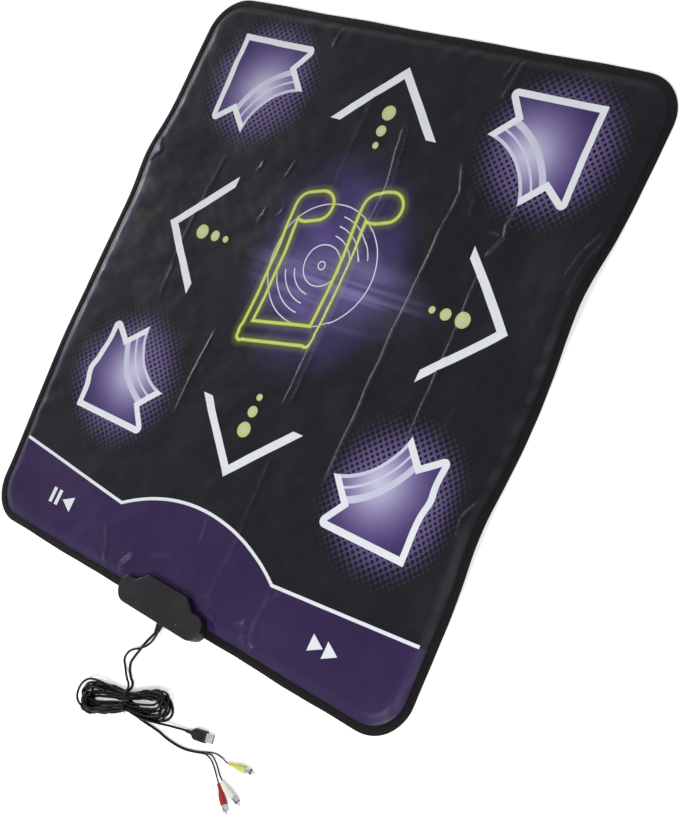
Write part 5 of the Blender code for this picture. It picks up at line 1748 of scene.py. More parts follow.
@dataclass
class InnerLayers:
    """Foam, films and base sheet, which follow the mat's pull and lift."""

    relief: MatRelief
    longest: float = 22.0
    rounds: int = 7
    weld: float = 0.01
    squeeze: float = 0.93
    rim_drop: float = 2.0
    rim_depth: float = 0.2
    foam_fill: float = 0.9

    def copy(self, node: str, name: str, finish: Finish) -> Piece:
        """Copy a CAD layer and cut it finely enough to bend.

        Args:
            node: The layer's CAD node, which the copy replaces.
            name: The new piece's name.
            finish: The piece's finish.

        Returns:
            The piece, still flat and not yet riding on a body.
        """
        work = bmesh.new()
        work.from_mesh(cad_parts[node].data)
        bmesh.ops.remove_doubles(work, verts=work.verts, dist=self.weld * MM)
        bmesh.ops.triangulate(work, faces=work.faces)
        for _ in range(self.rounds):
            long = [edge for edge in work.edges if edge.calc_length() > self.longest * MM]
            if not long:
                break
            bmesh.ops.subdivide_edges(work, edges=long, cuts=1)
            bmesh.ops.triangulate(work, faces=work.faces)
        mesh = bpy.data.meshes.new(name)
        work.to_mesh(mesh)
        work.free()
        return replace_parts(finish.dress(link_object(name, mesh)), node)

    def points(self, piece: Piece) -> Array:
        """Read a piece's points, in metres.

        Args:
            piece: The piece.

        Returns:
            Rows of points.
        """
        points = np.empty(len(piece.data.vertices) * 3, np.float32)
        piece.data.vertices.foreach_get("co", points)
        return points.reshape(-1, 3).astype(float)

    def place(self, piece: Piece, points: Array) -> None:
        """Move a piece's points to new places, in metres."""
        piece.data.vertices.foreach_set("co", points.astype(np.float32).ravel())
        piece.data.update()

    def press_foam(self, piece: Piece) -> Pair:
        """Squeeze a foam layer a little, and give its lowest and highest level in metres.

        Args:
            piece: The foam's piece, still flat.

        Returns:
            The two levels.
        """
        points = self.points(piece)
        base, top = points[:, 2].min(), points[:, 2].max()
        points[:, 2] = base + (points[:, 2] - base) * self.squeeze
        self.place(piece, points)
        return base, base + (top - base) * self.squeeze

    def soften_rims(self, piece: Piece, pads: Sequence[StepPad], level: float) -> None:
        """Slope the upper side of the cushion down to its openings, where the cover sinks with a step.

        Args:
            piece: The cushion's piece, still flat.
            pads: The mat's steps.
            level: Its highest level, in metres.
        """
        points = self.points(piece)
        upper = points[:, 2] > level - self.rim_depth * MM
        for pad in pads:
            across, along = pad.reach(points[:, 0] / MM, points[:, 1] / MM)
            share = np.clip(1.0 - np.maximum(across, along), 0.0, 1.0)
            points[:, 2] -= upper * share * self.rim_drop * MM
        self.place(piece, points)

    def build(self, pads: Sequence[StepPad], looks: dict[Layer, Finish], pad_look: Finish) -> list[Piece]:
        """Lay the layers and the steps' pads.

        Args:
            pads: The mat's steps.
            looks: Each layer's finish.
            pad_look: The pads' finish.

        Returns:
            The layers from the floor up, then the pads.
        """
        made = []
        for layer, finish in looks.items():
            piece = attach(self.copy(layer.value, "laid_" + layer.value, finish), "mat")
            if layer is Layer.CUSHION:
                self.soften_rims(piece, pads, self.press_foam(piece)[1])
            self.place(piece, self.relief.settle(self.points(piece)))
            made.append(piece)
        for pad in pads:
            piece = self.copy("step_pad_" + pad.name, "laid_pad_" + pad.name, pad_look)
            low, high = self.press_foam(piece)
            pad.body
            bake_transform(piece)
            self.place(piece, self.relief.settle(self.points(piece)))
            made.append(piece)
        return made


# Cords


class FarEnd(Enum):
    """What a cord ends in."""

    PLUG = "plug"
    BARE = "bare"


class Lay(Enum):
    """How a cord lies."""

    COILED = "coiled"
    LOOSE = "loose"


@dataclass(frozen=True)
class Cord:
    """One free cord: its size, its route in metres and what it ends in."""

    name: str
    diameter: float
    length: float
    route: tuple[Vector, ...]
    replaces: tuple[str, ...]
    far_end: FarEnd
    lay: Lay
    carries: tuple[str, ...]
    finish: Finish
    stiffness: str = "medium"

    def build(self) -> Piece:
        """Returns:
            The cord's piece.
        """
        curve = bpy.data.curves.new(self.name, "CURVE")
        curve.dimensions = "3D"
        curve.bevel_depth = self.diameter / 2
        curve.bevel_resolution = 5
        curve.use_fill_caps = True
        spline = curve.splines.new("POLY")
        spline.points.add(len(self.route) - 1)
        for point, place in zip(spline.points, self.route):
            point.co = (*place, 1.0)
        spline.use_smooth = True
        made = self.finish.dress(link_object(self.name, curve))
        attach(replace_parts(made, *self.replaces), "mat")
        return made


def smooth_route(points: Sequence[Vector], step: float) -> list[Vector]:
    """Run a smooth curve through points, with a new point about every step.

    Args:
        points: Places that the route goes through.
        step: Distance between the new points, in metres.

    Returns:
        The route's points, from the first to the last given.
    """

    def blend(first: Vector, second: Vector, start: float, end: float) -> Vector:
        """Go from the first place at the time start to the second at the time end."""
        return first * ((end - t) / (end - start)) + second * ((t - start) / (end - start))

    ends = [points[0] * 2 - points[1], *points, points[-1] * 2 - points[-2]]
    route = [points[0]]
    for a, b, c, d in zip(ends, ends[1:], ends[2:], ends[3:]):
        t0, t1 = 0.0, math.sqrt((b - a).length)
        t2 = t1 + math.sqrt((c - b).length)
        t3 = t2 + math.sqrt((d - c).length)
        count = max(1, round((c - b).length / step))
        for k in range(1, count + 1):
            t = t1 + (t2 - t1) * k / count
            middle = blend(b, c, t1, t2)
            before = blend(blend(a, b, t0, t1), middle, t0, t2)
            after = blend(middle, blend(c, d, t2, t3), t1, t3)
            route.append(blend(before, after, t1, t2))
    return route


@dataclass(frozen=True)
class Hank:
    """Both cords wound to and fro by hand into one hank with a tied waist; in millimetres."""

    centre: Pair
    heading: float
    lobe_spacing: float = 125.0
    lobe_radius: float = 11.4
    waist_margin: float = 0.3
    strand_gap: float = 0.7
    layer_gap: float = 0.5
    waist_lift: float = 1.4
    turns_in: float = 2.5
    per_turn: int = 24
    tie_at: float = 6.5
    tie_half: Pair = (12.0, 8.1)
    half_turns: int = 13
    # ranges of what each half turn's loop has of its own
    reaches: Pair = (-0.16, 0.06)
    widths: Pair = (7.0, 17.0)
    skews: Pair = (-0.06, 0.06)
    rises: Pair = (0.0, 4.0)
    widest: float = 20.5
    leans: Pair = (0.55, 1.0)
    # the loose loop's reach, and how much wider than neat it is on the box side and on the other
    loose_reach: float = 0.04
    loose_widths: Pair = (0.3, -0.35)

    def world(self, places: Array) -> Array:
        """Turn places along, across and above the hank into places in the frame.

        Args:
            places: Rows of places in the hank's own directions.

        Returns:
            Rows of points.
        """
        cos, sin = math.cos(self.heading), math.sin(self.heading)
        u, v, z = np.asarray(places, float).T
        return np.stack([self.centre[0] + u * cos + v * sin, self.centre[1] + u * sin - v * cos, z], axis=-1)

    def local(self, places: Array) -> Array:
        """Turn places in the frame into places along, across and above the hank.

        Args:
            places: Rows of points.

        Returns:
            Rows of places in the hank's own directions.
        """
        cos, sin = math.cos(self.heading), math.sin(self.heading)
        x, y = places[:, 0] - self.centre[0], places[:, 1] - self.centre[1]
        return np.stack([x * cos + y * sin, x * sin - y * cos, places[:, 2]], axis=-1)

    def place(self, turn: float, offset: float, waist_half: float) -> Vector:
        """Where a neatly wound strand's centreline is, flat, at a number of turns from the hank's start.

        Args:
            turn: Turns from the hank's start.
            offset: How far outside the first loop it lies.
            waist_half: Half the first loop's width at the waist.

        Returns:
            The place along and across the hank.
        """
        half, lobe = self.lobe_spacing / 2, self.lobe_radius
        share = turn % 1.0
        flipped = 1.0 if share <= 0.5 else -1.0
        local = share if share <= 0.5 else share - 0.5
        if 0.125 <= local <= 0.375:
            angle = math.pi * (local - 0.125) / 0.25
            point = Vector((-half - lobe * math.sin(angle), -lobe * math.cos(angle)))
            normal = Vector((-math.sin(angle), -math.cos(angle)))
        else:
            side, near = (-1.0, local) if local < 0.125 else (1.0, 0.5 - local)
            reach = near / 0.125
            slope = (lobe - waist_half) * 6 * reach * (1 - reach) / half
            point = Vector((-half * reach, side * (waist_half + (lobe - waist_half) * ease(reach))))
            normal = Vector((slope, side)).normalized()
        return (point + normal * offset) * flipped

    def loops(self, diameter: float, base: float, last_turn: float, seed: int,
              loose: int = -1) -> list[Triple]:
        """Wind one cord in two layers of loops, each with a reach, width and lean of its own.

        Args:
            diameter: The cord's diameter.
            base: Height of the lower layer's centreline.
            last_turn: Where the winding ends, in turns.
            seed: Picks the loops' sizes.
            loose: Number of the half turn that stands out on the box side, or -1.

        Returns:
            Centreline points along, across and above the hank.
        """
        pick = np.random.default_rng(seed)
        pitch, layer = diameter + self.strand_gap, diameter + self.layer_gap
        kinds = []
        for _ in range(self.half_turns):
            width = pick.uniform(*self.widths)
            lean = pick.choice((-1.0, 1.0)) * pick.uniform(*self.leans) * (self.widest - width)
            reach, skew, rise = (pick.uniform(*span) for span in (self.reaches, self.skews, self.rises))
            kinds.append((reach, width, lean, skew, rise))
        made = []
        for k in range(1, math.floor(last_turn * self.per_turn) + 1):
            turn = k / self.per_turn
            offset = pitch * abs(turn - self.turns_in)
            flat = self.place(turn, offset, pitch / 2 + self.waist_margin)
            half_turn = min(int(turn * 2 - 1e-9), self.half_turns - 1)
            bulge = abs(math.sin(math.tau * turn)) ** 1.2
            reach, width, lean, skew, rise = kinds[half_turn]
            wider = width / (self.lobe_radius + offset) - 1.0
            if half_turn == loose:
                reach, wider, lean, skew, rise = self.loose_reach, self.loose_widths[flat.y >= 0.0], 0, 0, 0
            u = flat.x * (1.0 + reach * bulge)
            v = flat.y * (1.0 + wider * bulge) + (u * skew + lean) * bulge
            climb = min(max((turn - self.turns_in + 0.25) / 0.5, 0.0), 1.0)
            share = min(1.0, abs(flat.x) / (self.lobe_spacing / 2))
            lift = self.waist_lift * (1 - ease(share)) + rise * bulge
            made.append((u, v, base + layer * ease(climb) + lift))
        return made


@dataclass
class Settling:
    """Lets cords that touch settle: they keep their length, push apart, rest low and fill the tie."""

    hank: Hank
    step: float = 2.0
    rounds: int = 170
    calm_from: int = 95
    gap: float = 0.1
    near: float = 3.0  # how close strands are watched
    same_strand: float = 3.1  # least way along a cord between two strands of it, in diameters
    tightest: float = 3.0  # least bend radius, in diameters
    sink: float = 0.04
    floor_gap: float = 0.05
    # how hard strands push apart and bends straighten, at first and once the cords lie calm
    push: Pair = (1.2, 1.5)
    straight: Pair = (0.25, 0.1)
    last_straight: float = 0.4
    sharp_straight: float = 0.4
    relist: int = 5
    length_passes: int = 5
    # half size of the hank's box, and how many points of a cord from its ends are freed and tied
    reach: Pair = (95.0, 36.0)
    freed_over: int = 14
    tied_from: int = 24
    tie_half_width: float = 5.0

    def prepare(self, routes: Sequence[Array], radii: Sequence[float]) -> None:
        """Cut the routes into short lengths, and free only what lies in the hank.

        Args:
            routes: Each cord's centreline.
            radii: Each cord's radius.
        """
        parts = []
        for route in routes:
            along = lengths(route)
            at = np.linspace(0.0, along[-1], round(along[-1] / self.step) + 1)
            parts.append(np.stack([np.interp(at, along, route[:, k]) for k in range(3)], axis=-1))
        self.points = np.vstack(parts)
        self.owner = np.concatenate([np.full(len(part), k) for k, part in enumerate(parts)])
        self.radius = np.concatenate([np.full(len(part), r) for part, r in zip(parts, radii)])
        self.rest = np.append(np.linalg.norm(np.diff(self.points, axis=0), axis=1), 0.0)
        self.ends = np.cumsum([len(part) for part in parts])[:-1]
        self.rest[self.ends - 1] = 0.0
        places = self.hank.local(self.points)
        inside = (np.abs(places[:, :2]) < self.reach).all(axis=1)
        self.free = np.zeros(len(self.points))
        self.tied = np.zeros(len(self.points), bool)
        for k in range(len(parts)):
            own = np.flatnonzero(self.owner == k)
            wound = own[inside[own]]
            deep = np.minimum(own - wound[0], wound[-1] - own)
            self.free[own] = np.clip(deep / self.freed_over, 0.0, 1.0)
            self.tied[own] = deep > self.tied_from

    def neighbours(self) -> None:
        """List the pairs of points that are near each other but not along the same bit of cord."""
        apart = ((self.points[:, None, :] - self.points[None, :, :]) ** 2).sum(-1)
        limit = (self.radius[:, None] + self.radius[None, :] + self.near) ** 2
        a, b = np.nonzero(np.triu(apart < limit, 1))
        reach = self.radius[a] + self.radius[b]
        far = (self.owner[a] != self.owner[b]) | ((b - a) * self.step > self.same_strand * reach)
        self.pairs = (a[far], b[far], reach[far])

    def separate(self, force: float) -> None:
        """Push apart strands that overlap.

        Args:
            force: The share of each overlap that is undone.
        """
        a, b, reach = self.pairs
        away = self.points[a] - self.points[b]
        apart = np.linalg.norm(away, axis=1) + 1e-9
        short = reach + self.gap - apart
        push = away / apart[:, None] * (short * 0.5)[:, None]
        a, b, push = (part[short > 0.0] for part in (a, b, push))
        count = len(self.points)
        moved = [np.bincount(a, way, count) - np.bincount(b, way, count) for way in push.T]
        met = np.maximum(np.bincount(a, minlength=count) + np.bincount(b, minlength=count), 1)
        self.points += np.stack(moved, axis=-1) / met[:, None] * force * self.free[:, None]

    def straighten(self, force: float) -> None:
        """Let each point move towards the middle of its neighbours, most where the bend is too tight.

        Args:
            force: The share of the way that each point moves.
        """
        middle = np.zeros_like(self.points)
        middle[1:-1] = (self.points[:-2] + self.points[2:]) / 2 - self.points[1:-1]
        middle[self.ends] = 0.0
        middle[self.ends - 1] = 0.0
        least_bend = self.tightest * 2 * self.radius
        sharp = np.clip(np.linalg.norm(middle, axis=1) * 2 * least_bend / self.step**2 - 1.0, 0.0, 1.0)
        self.points += middle * ((force + self.sharp_straight * sharp) * self.free)[:, None]

    def keep_length(self) -> None:
        """Bring each short length of cord back to its own length."""
        for _ in range(self.length_passes):
            for odd in (0, 1):
                k = np.arange(odd, len(self.points) - 1, 2)
                k = k[self.rest[k] > 0.0]
                run = self.points[k + 1] - self.points[k]
                size = np.linalg.norm(run, axis=1)
                share = np.maximum(self.free[k] + self.free[k + 1], 1e-9)
                move = ((size - self.rest[k]) / size / share)[:, None] * run
                self.points[k] += move * self.free[k][:, None]
                self.points[k + 1] -= move * self.free[k + 1][:, None]

    def hold(self) -> None:
        """Keep the cords above the floor and inside the tie."""
        self.points[:, 2] = np.maximum(self.points[:, 2], self.radius + self.floor_gap)
        places = self.hank.local(self.points)
        near = (np.abs(places[:, 0] - self.hank.tie_at) < self.tie_half_width) & self.tied
        half, tall = self.hank.tie_half
        out = np.hypot(places[near, 1] / half, (places[near, 2] - tall) / tall)
        share = np.where(out > 1.0, 0.5 + 0.5 / np.maximum(out, 1.0), 1.0)
        places[near, 1] *= share
        places[near, 2] = tall + (places[near, 2] - tall) * share
        self.points[near] = self.hank.world(places[near])

    def settle(self, routes: Sequence[Array], radii: Sequence[float]) -> list[Array]:
        """Settle the cords.

        Args:
            routes: Each cord's centreline, in millimetres.
            radii: Each cord's radius, in millimetres.

        Returns:
            The settled centrelines.
        """
        self.prepare(routes, radii)
        for turn in range(self.rounds):
            calm = turn >= self.calm_from
            if turn % self.relist == 0:
                self.neighbours()
            if not calm:
                self.points[:, 2] -= self.sink * self.free
            self.separate(self.push[calm])
            self.straighten(self.straight[calm])
            self.keep_length()
            self.hold()
        self.straighten(self.last_straight)
        self.hold()
        return [self.points[self.owner == k] for k in range(len(routes))]


@dataclass(frozen=True)
class Plug:
    """A plug on a cord: where its grip's end is, and which way it points."""

    place: Triple
    heading: float

    def point(self, along: float) -> Vector:
        """A place on the plug's own axis, which runs out of the grip."""
        angle = math.radians(self.heading)
        return Vector(self.place) + Vector((math.cos(angle), math.sin(angle), 0.0)) * along


@dataclass
class CordSet:
    """The USB cord, the audio-video cord with its three branches, and the tie round their hank."""

    rubber: Finish
    wire: Finish
    hank: Hank = Hank((-5.5, 587.0), math.radians(200.8))
    # diameters
    usb: float = 0.0032
    video: float = 0.0038
    branch: float = 0.0020
    clear: float = 0.00005  # between a cord and the floor
    gap: float = 0.0003  # between a cord's end and its plug
    exit_half: float = 0.0021  # from the boot's middle to each cord
    route_step: float = 0.0014
    fine_step: float = 0.001
    # where each cord leaves the winding, in turns, and the seed of its loops
    usb_winding: tuple[float, int] = (5.625, 3)
    video_winding: tuple[float, int] = (5.5, 53)
    loose_loop: int = 10
    # the branches fan out round the split
    branch_offset: float = 0.0014
    split: Vector = Vector((-0.1600, 0.5860, 0.0025))
    split_heading: float = math.radians(200.5)
    boot_exit: Triple = (-0.0090, 0.4796, 0.01015)
    usb_plug: Plug = Plug((-0.1228, 0.5731, 0.0041), 192.4)
    phono_z: float = 0.00495

    def kept_up(self, points: Sequence[Vector], diameter: float) -> list[Vector]:
        """Keep a cord's centreline its own radius above the floor."""
        return [Vector((p.x, p.y, max(p.z, diameter / 2 + self.clear))) for p in points]

    def out_of_boot(self, side: float, diameter: float) -> list[Vector]:
        """The boot's exit and one diameter straight out of it."""
        exit_point = Vector(self.boot_exit) + Vector((side * self.exit_half, 0.0, 0.0))
        return [exit_point, exit_point + Vector((0.0, diameter, 0.0))]

    def wind(self, lead_in: Sequence[Sequence[float]], loops: Sequence[Sequence[float]],
             lead_out: Sequence[Sequence[float]]) -> list[Vector]:
        """Join a cord's way into the hank, its loops and its way out, as places in the frame."""
        ends = [np.array(end) / MM for end in (lead_in, lead_out)]
        return [Vector(place) for place in self.hank.world(np.vstack([ends[0], loops, ends[1]])) * MM]

    def usb_route(self) -> list[Vector]:
        """From the boot into the hank's upper winding, and out of it to the USB plug.

        Returns:
            The route's points, in metres.
        """
        floor = self.usb / 2 + self.clear
        base = self.video / 2 + self.clear + self.video + self.hank.layer_gap * MM
        base += (self.video + self.usb) / 2 + self.hank.layer_gap * MM
        low, up = base + 0.0014, base + 0.0037
        lead = [
            (-0.0085, 0.4910, 0.0088), (-0.0045, 0.5000, 0.0078), (0.0030, 0.5085, 0.0070),
            (0.0115, 0.5146, 0.0064), (0.0218, 0.5208, 0.0042), (0.0300, 0.5290, 0.0018),
            (0.0310, 0.5385, 0.0017),
        ]
        lead_in = [
            (-0.0126, -0.0460, floor + 0.0002), (-0.0109, -0.0432, floor + 0.0010),
            (-0.0070, -0.0372, floor + 0.0029), (-0.0026, -0.0312, floor + 0.0052),
            (0.0014, -0.0262, floor + 0.0072), (0.0041, -0.0220, floor + 0.0088),
            (0.0051, -0.0188, low - 0.0005), (0.0042, -0.0155, low), (0.0018, -0.0131, low),
            (-0.0015, -0.0122, low),
        ]
        lead_out = [
            (0.0660, 0.0238, up - 0.0004), (0.0760, 0.0243, up - 0.0024), (0.0845, 0.0250, up - 0.0055),
            (0.0877, 0.0253, up - 0.0069),
        ]
        tail = [(-0.1065, 0.5770, 0.0055), (-0.1130, 0.5753, 0.0045)]
        loops = self.hank.loops(self.usb / MM, base / MM, *self.usb_winding, self.loose_loop)
        wound = self.wind(lead_in, loops, lead_out)
        ends = [self.usb_plug.point(-self.gap - self.usb), self.usb_plug.point(-self.gap)]
        points = [*self.out_of_boot(-1.0, self.usb), *map(Vector, lead), *wound, *map(Vector, tail), *ends]
        return self.kept_up(smooth_route(points, self.route_step), self.usb)

    def video_route(self) -> list[Vector]:
        """From the boot into the hank's lower winding, and out of it to where the cord splits.

        Returns:
            The route's points, in metres.
        """
        base = self.video / 2 + self.clear
        up = base + 0.0043
        lead = [
            (-0.0015, 0.4915, 0.0075), (0.0050, 0.5005, 0.0040), (0.0095, 0.5090, 0.0022),
            (0.0125, 0.5190, 0.0020), (0.0158, 0.5300, 0.0020), (0.0171, 0.5380, 0.0020),
        ]
        lead_in = [
            (-0.0036, -0.0430, base), (-0.0022, -0.0394, base), (0.0006, -0.0332, base),
            (0.0042, -0.0274, base + 0.0002), (0.0063, -0.0218, base + 0.0007),
            (0.0053, -0.0179, base + 0.0011), (0.0024, -0.0150, base + 0.0014),
            (-0.0015, -0.0140, base + 0.0014),
        ]
        lead_out = [
            (0.0140, 0.0188, up + 0.0007), (0.0280, 0.0223, up - 0.0010),
            (0.0400, 0.0252, base + 0.0012), (0.0500, 0.0282, base), (0.0536, 0.0296, base),
        ]
        tail = [
            (-0.0800, 0.5960, 0.0020), (-0.0920, 0.5973, 0.0020), (-0.1055, 0.5976, 0.0020),
            (-0.1190, 0.5970, 0.0020), (-0.1330, 0.5949, 0.0020), (-0.1480, 0.5905, 0.0020),
        ]
        loops = self.hank.loops(self.video / MM, base / MM, *self.video_winding)
        wound = self.wind(lead_in, loops, lead_out)
        end = self.split - self.split_way * self.video
        start = [*self.out_of_boot(1.0, self.video), *map(Vector, lead)]
        points = [*start, *wound, *map(Vector, tail), end, self.split]
        return self.kept_up(smooth_route(points, self.route_step), self.video)

    @property
    def split_way(self) -> Vector:
        """The way that the cord points where it splits."""
        return Vector((math.cos(self.split_heading), math.sin(self.split_heading), 0.0))

    def branch_route(self, offset: Vector, route: Sequence[Triple], plug: Plug) -> list[Vector]:
        """From the split to one phono plug.

        Args:
            offset: Where the branch leaves the split, from its middle.
            route: Places that it goes through.
            plug: Its plug.

        Returns:
            The route's points, in metres.
        """
        start = self.split + self.split_way * self.gap + offset
        ends = [plug.point(-self.gap - self.branch), plug.point(-self.gap)]
        points = [start, start + self.split_way * 0.002, *map(Vector, route), *ends]
        return self.kept_up(smooth_route(points, self.fine_step), self.branch)

    def build(self) -> list[Piece]:
        """Lay every cord and tie the hank.

        Returns:
            The five cords and the tie.
        """
        started = [np.array(route) / MM for route in (self.usb_route(), self.video_route())]
        settled = Settling(self.hank).settle(started, (self.usb / 2 / MM, self.video / 2 / MM))
        usb_way, video_way = (smooth_route([Vector(at * MM) for at in way], self.fine_step)
                              for way in settled)
        usb = Cord("usb_cord", self.usb, 2.074, tuple(self.kept_up(usb_way, self.usb)),
                   ("usb_cord_lead", "usb_cord_hank", "usb_cord_tail"), FarEnd.PLUG, Lay.COILED,
                   ("usb_plug_grip", "usb_plug_shell", "usb_plug_tongue"), self.rubber)
        video = Cord("video_cord", self.video, 2.133, tuple(self.kept_up(video_way, self.video)),
                     ("av_cord_lead", "av_cord_hank", "av_cord_tail"), FarEnd.BARE, Lay.COILED, (),
                     self.rubber)
        return [cord.build() for cord in (usb, video, *self.branches())] + [self.tie()]

    def branches(self) -> list[Cord]:
        """Run the three branches from the split to their phono plugs.

        Returns:
            The branches, still to be built.
        """
        rise = Vector((0.0, 0.0, self.branch_offset))
        side = Vector((-self.split_way.y, self.split_way.x, 0.0)) * 0.87 * self.branch_offset
        branches = {
            "yellow": (side - rise / 2, Plug((-0.2085, 0.5770, self.phono_z), 191.5), 0.050,
                       ((-0.1710, 0.5800, 0.0016), (-0.1800, 0.5772, 0.0011), (-0.1915, 0.5766, 0.0022))),
            "red": (rise, Plug((-0.2062, 0.6063, self.phono_z), 139.7), 0.052,
                    ((-0.1745, 0.5858, 0.0026), (-0.1840, 0.5915, 0.0012), (-0.1940, 0.5985, 0.0022))),
            "white": (-side - rise / 2, Plug((-0.2102, 0.6002, self.phono_z), 161.3), 0.055,
                      ((-0.1745, 0.5818, 0.0011), (-0.1860, 0.5868, 0.0011), (-0.1980, 0.5950, 0.0022))),
        }
        made = []
        for colour, (offset, plug, length, route) in branches.items():
            pieces = tuple(f"{colour}_plug_{part}" for part in ("grip", "ring", "insulator", "pin"))
            way = tuple(self.branch_route(offset, route, plug))
            made.append(Cord(colour + "_branch", self.branch, length, way, (colour + "_branch_cord",),
                             FarEnd.PLUG, Lay.LOOSE, pieces, self.rubber))
        return made

    def tie(self) -> Piece:
        """Wrap a flat twist tie round the hank's waist, and twist its two ends together on top.

        Returns:
            The tie's piece.
        """
        band, tails = self.tie_band(), [self.tie_tail(tail) for tail in range(2)]
        faces = tube(len(band) // 6, 6, capped=False)
        for k, tail in enumerate(tails):
            faces += tube(len(tail) // 4, 4, len(band) + k * len(tail))
        rows = np.array([*band, *tails[0], *tails[1]])
        tie = place_mesh("twist_tie", self.hank.world(rows[:, :3]) * MM, faces)
        map_points(tie.data, "weave", rows[:, 3:] * MM)
        self.wire.dress(tie)
        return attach(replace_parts(tie, "hank_tie"), "mat")

    @property
    def tie_size(self) -> Pair:
        """Half the tie's width round the hank, and its height, both a little outside the cords."""
        return self.hank.tie_half[0] + 2.4, 2 * self.hank.tie_half[1] + 1.2

    def tie_band(self, ring: int = 44, wide: float = 2.4,
                 rounding: Pair = (0.62, 0.7)) -> list[tuple[float, ...]]:
        """Bend the band round the waist, flat below and thick along its wire.

        Args:
            ring: How many steps it takes round the hank.
            wide: Half the tape's width.
            rounding: Powers that square up its way round, across and upwards; 1 is an oval.

        Returns:
            Six points a step, as a place along, across and above the hank and in the map named weave.
        """
        section = ((-wide, 0.0), (-0.5, 0.28), (0.5, 0.28), (wide, 0.0), (wide, -0.25), (-wide, -0.25))
        span, tall = self.tie_size
        rows = []
        for k in range(ring + 1):
            angle = math.tau * k / ring
            across, up = (math.copysign(abs(way) ** power, way)
                          for way, power in zip((math.cos(angle), math.sin(angle)), rounding))
            across, up = across * span * 0.97, tall / 2 + up * (tall / 2 - 0.5)
            for side, lift in section:
                high = max(up + lift * math.sin(angle), 0.1)
                run = math.tau * span / ring * (k + 1)
                rows.append((self.hank.tie_at + side, across * (1.0 + lift / span), high, run, side))
        return rows

    def tie_tail(self, tail: int, steps: int = 26, length: float = 15.0, twisted: float = 0.6,
                 turns: float = 1.6) -> list[tuple[float, ...]]:
        """Twist one of the tie's two ends round the other, and let it stand out at its tip.

        Args:
            tail: Number of the end.
            steps: How many steps it takes along itself.
            length: How long it is.
            twisted: The share of it that is twisted.
            turns: How many turns the twist has.

        Returns:
            Four points a step, in the same form as the band's.
        """
        rows = []
        for k in range(steps + 1):
            share = k / steps
            along = 0.5 + length * share
            spin = math.tau * turns * min(share / twisted, 1.0) + math.pi * tail
            apart = 0.55 + 2.2 * max(share - twisted, 0.0) / (1.0 - twisted)
            across = 2.0 + along * 0.82 + apart * math.cos(spin)
            up = self.tie_size[1] + 0.3 - 4.5 * share * share
            up += apart * math.sin(spin) * (1.0 if share < twisted else 0.4)
            for side, lift in ((-0.9, -0.12), (0.9, -0.12), (0.9, 0.12), (-0.9, 0.12)):
                u = self.hank.tie_at + side * math.cos(spin * 0.5) + 3.0 * share * (1 if tail else -0.4)
                rows.append((u, across, up + lift + side * math.sin(spin * 0.5), along, side))
        return rows


# Box, plugs and studio


@dataclass
class HardParts:
    """Moulded, pressed and turned CAD pieces that keep their shape and get soft edges and finishes."""

    looks: dict[str, Finish]
    edge: float = 0.00035
    edge_share: float = 0.12
    weld: float = 0.000002
    sharp: float = math.radians(38)

    def look(self, node: str) -> Finish | None:
        """Find a node's finish by the longest pattern that its name ends or starts with."""
        fitting = [key for key in self.looks if node.startswith(key) or node.endswith(key)]
        return self.looks[max(fitting, key=len)] if fitting else None

    def build(self) -> list[Piece]:
        """Dress every CAD node that still shows.

        Returns:
            The dressed nodes.
        """
        made = []
        for name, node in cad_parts.items():
            finish = self.look(name)
            if node.hide_render or finish is None:
                continue
            finish.dress(node)
            node.data.polygons.foreach_set("use_smooth", [True] * len(node.data.polygons))
            node.modifiers.new("weld", "WELD").merge_threshold = self.weld
            bevel = node.modifiers.new("soft edges", "BEVEL")
            bevel.width = min(self.edge, min(node.dimensions) * self.edge_share)
            bevel.segments = 2
            bevel.limit_method = "ANGLE"
            bevel.angle_limit = self.sharp
            bevel.harden_normals = False
            node.modifiers.new("normals", "WEIGHTED_NORMAL").keep_sharp = False
            made.append(node)
        return made


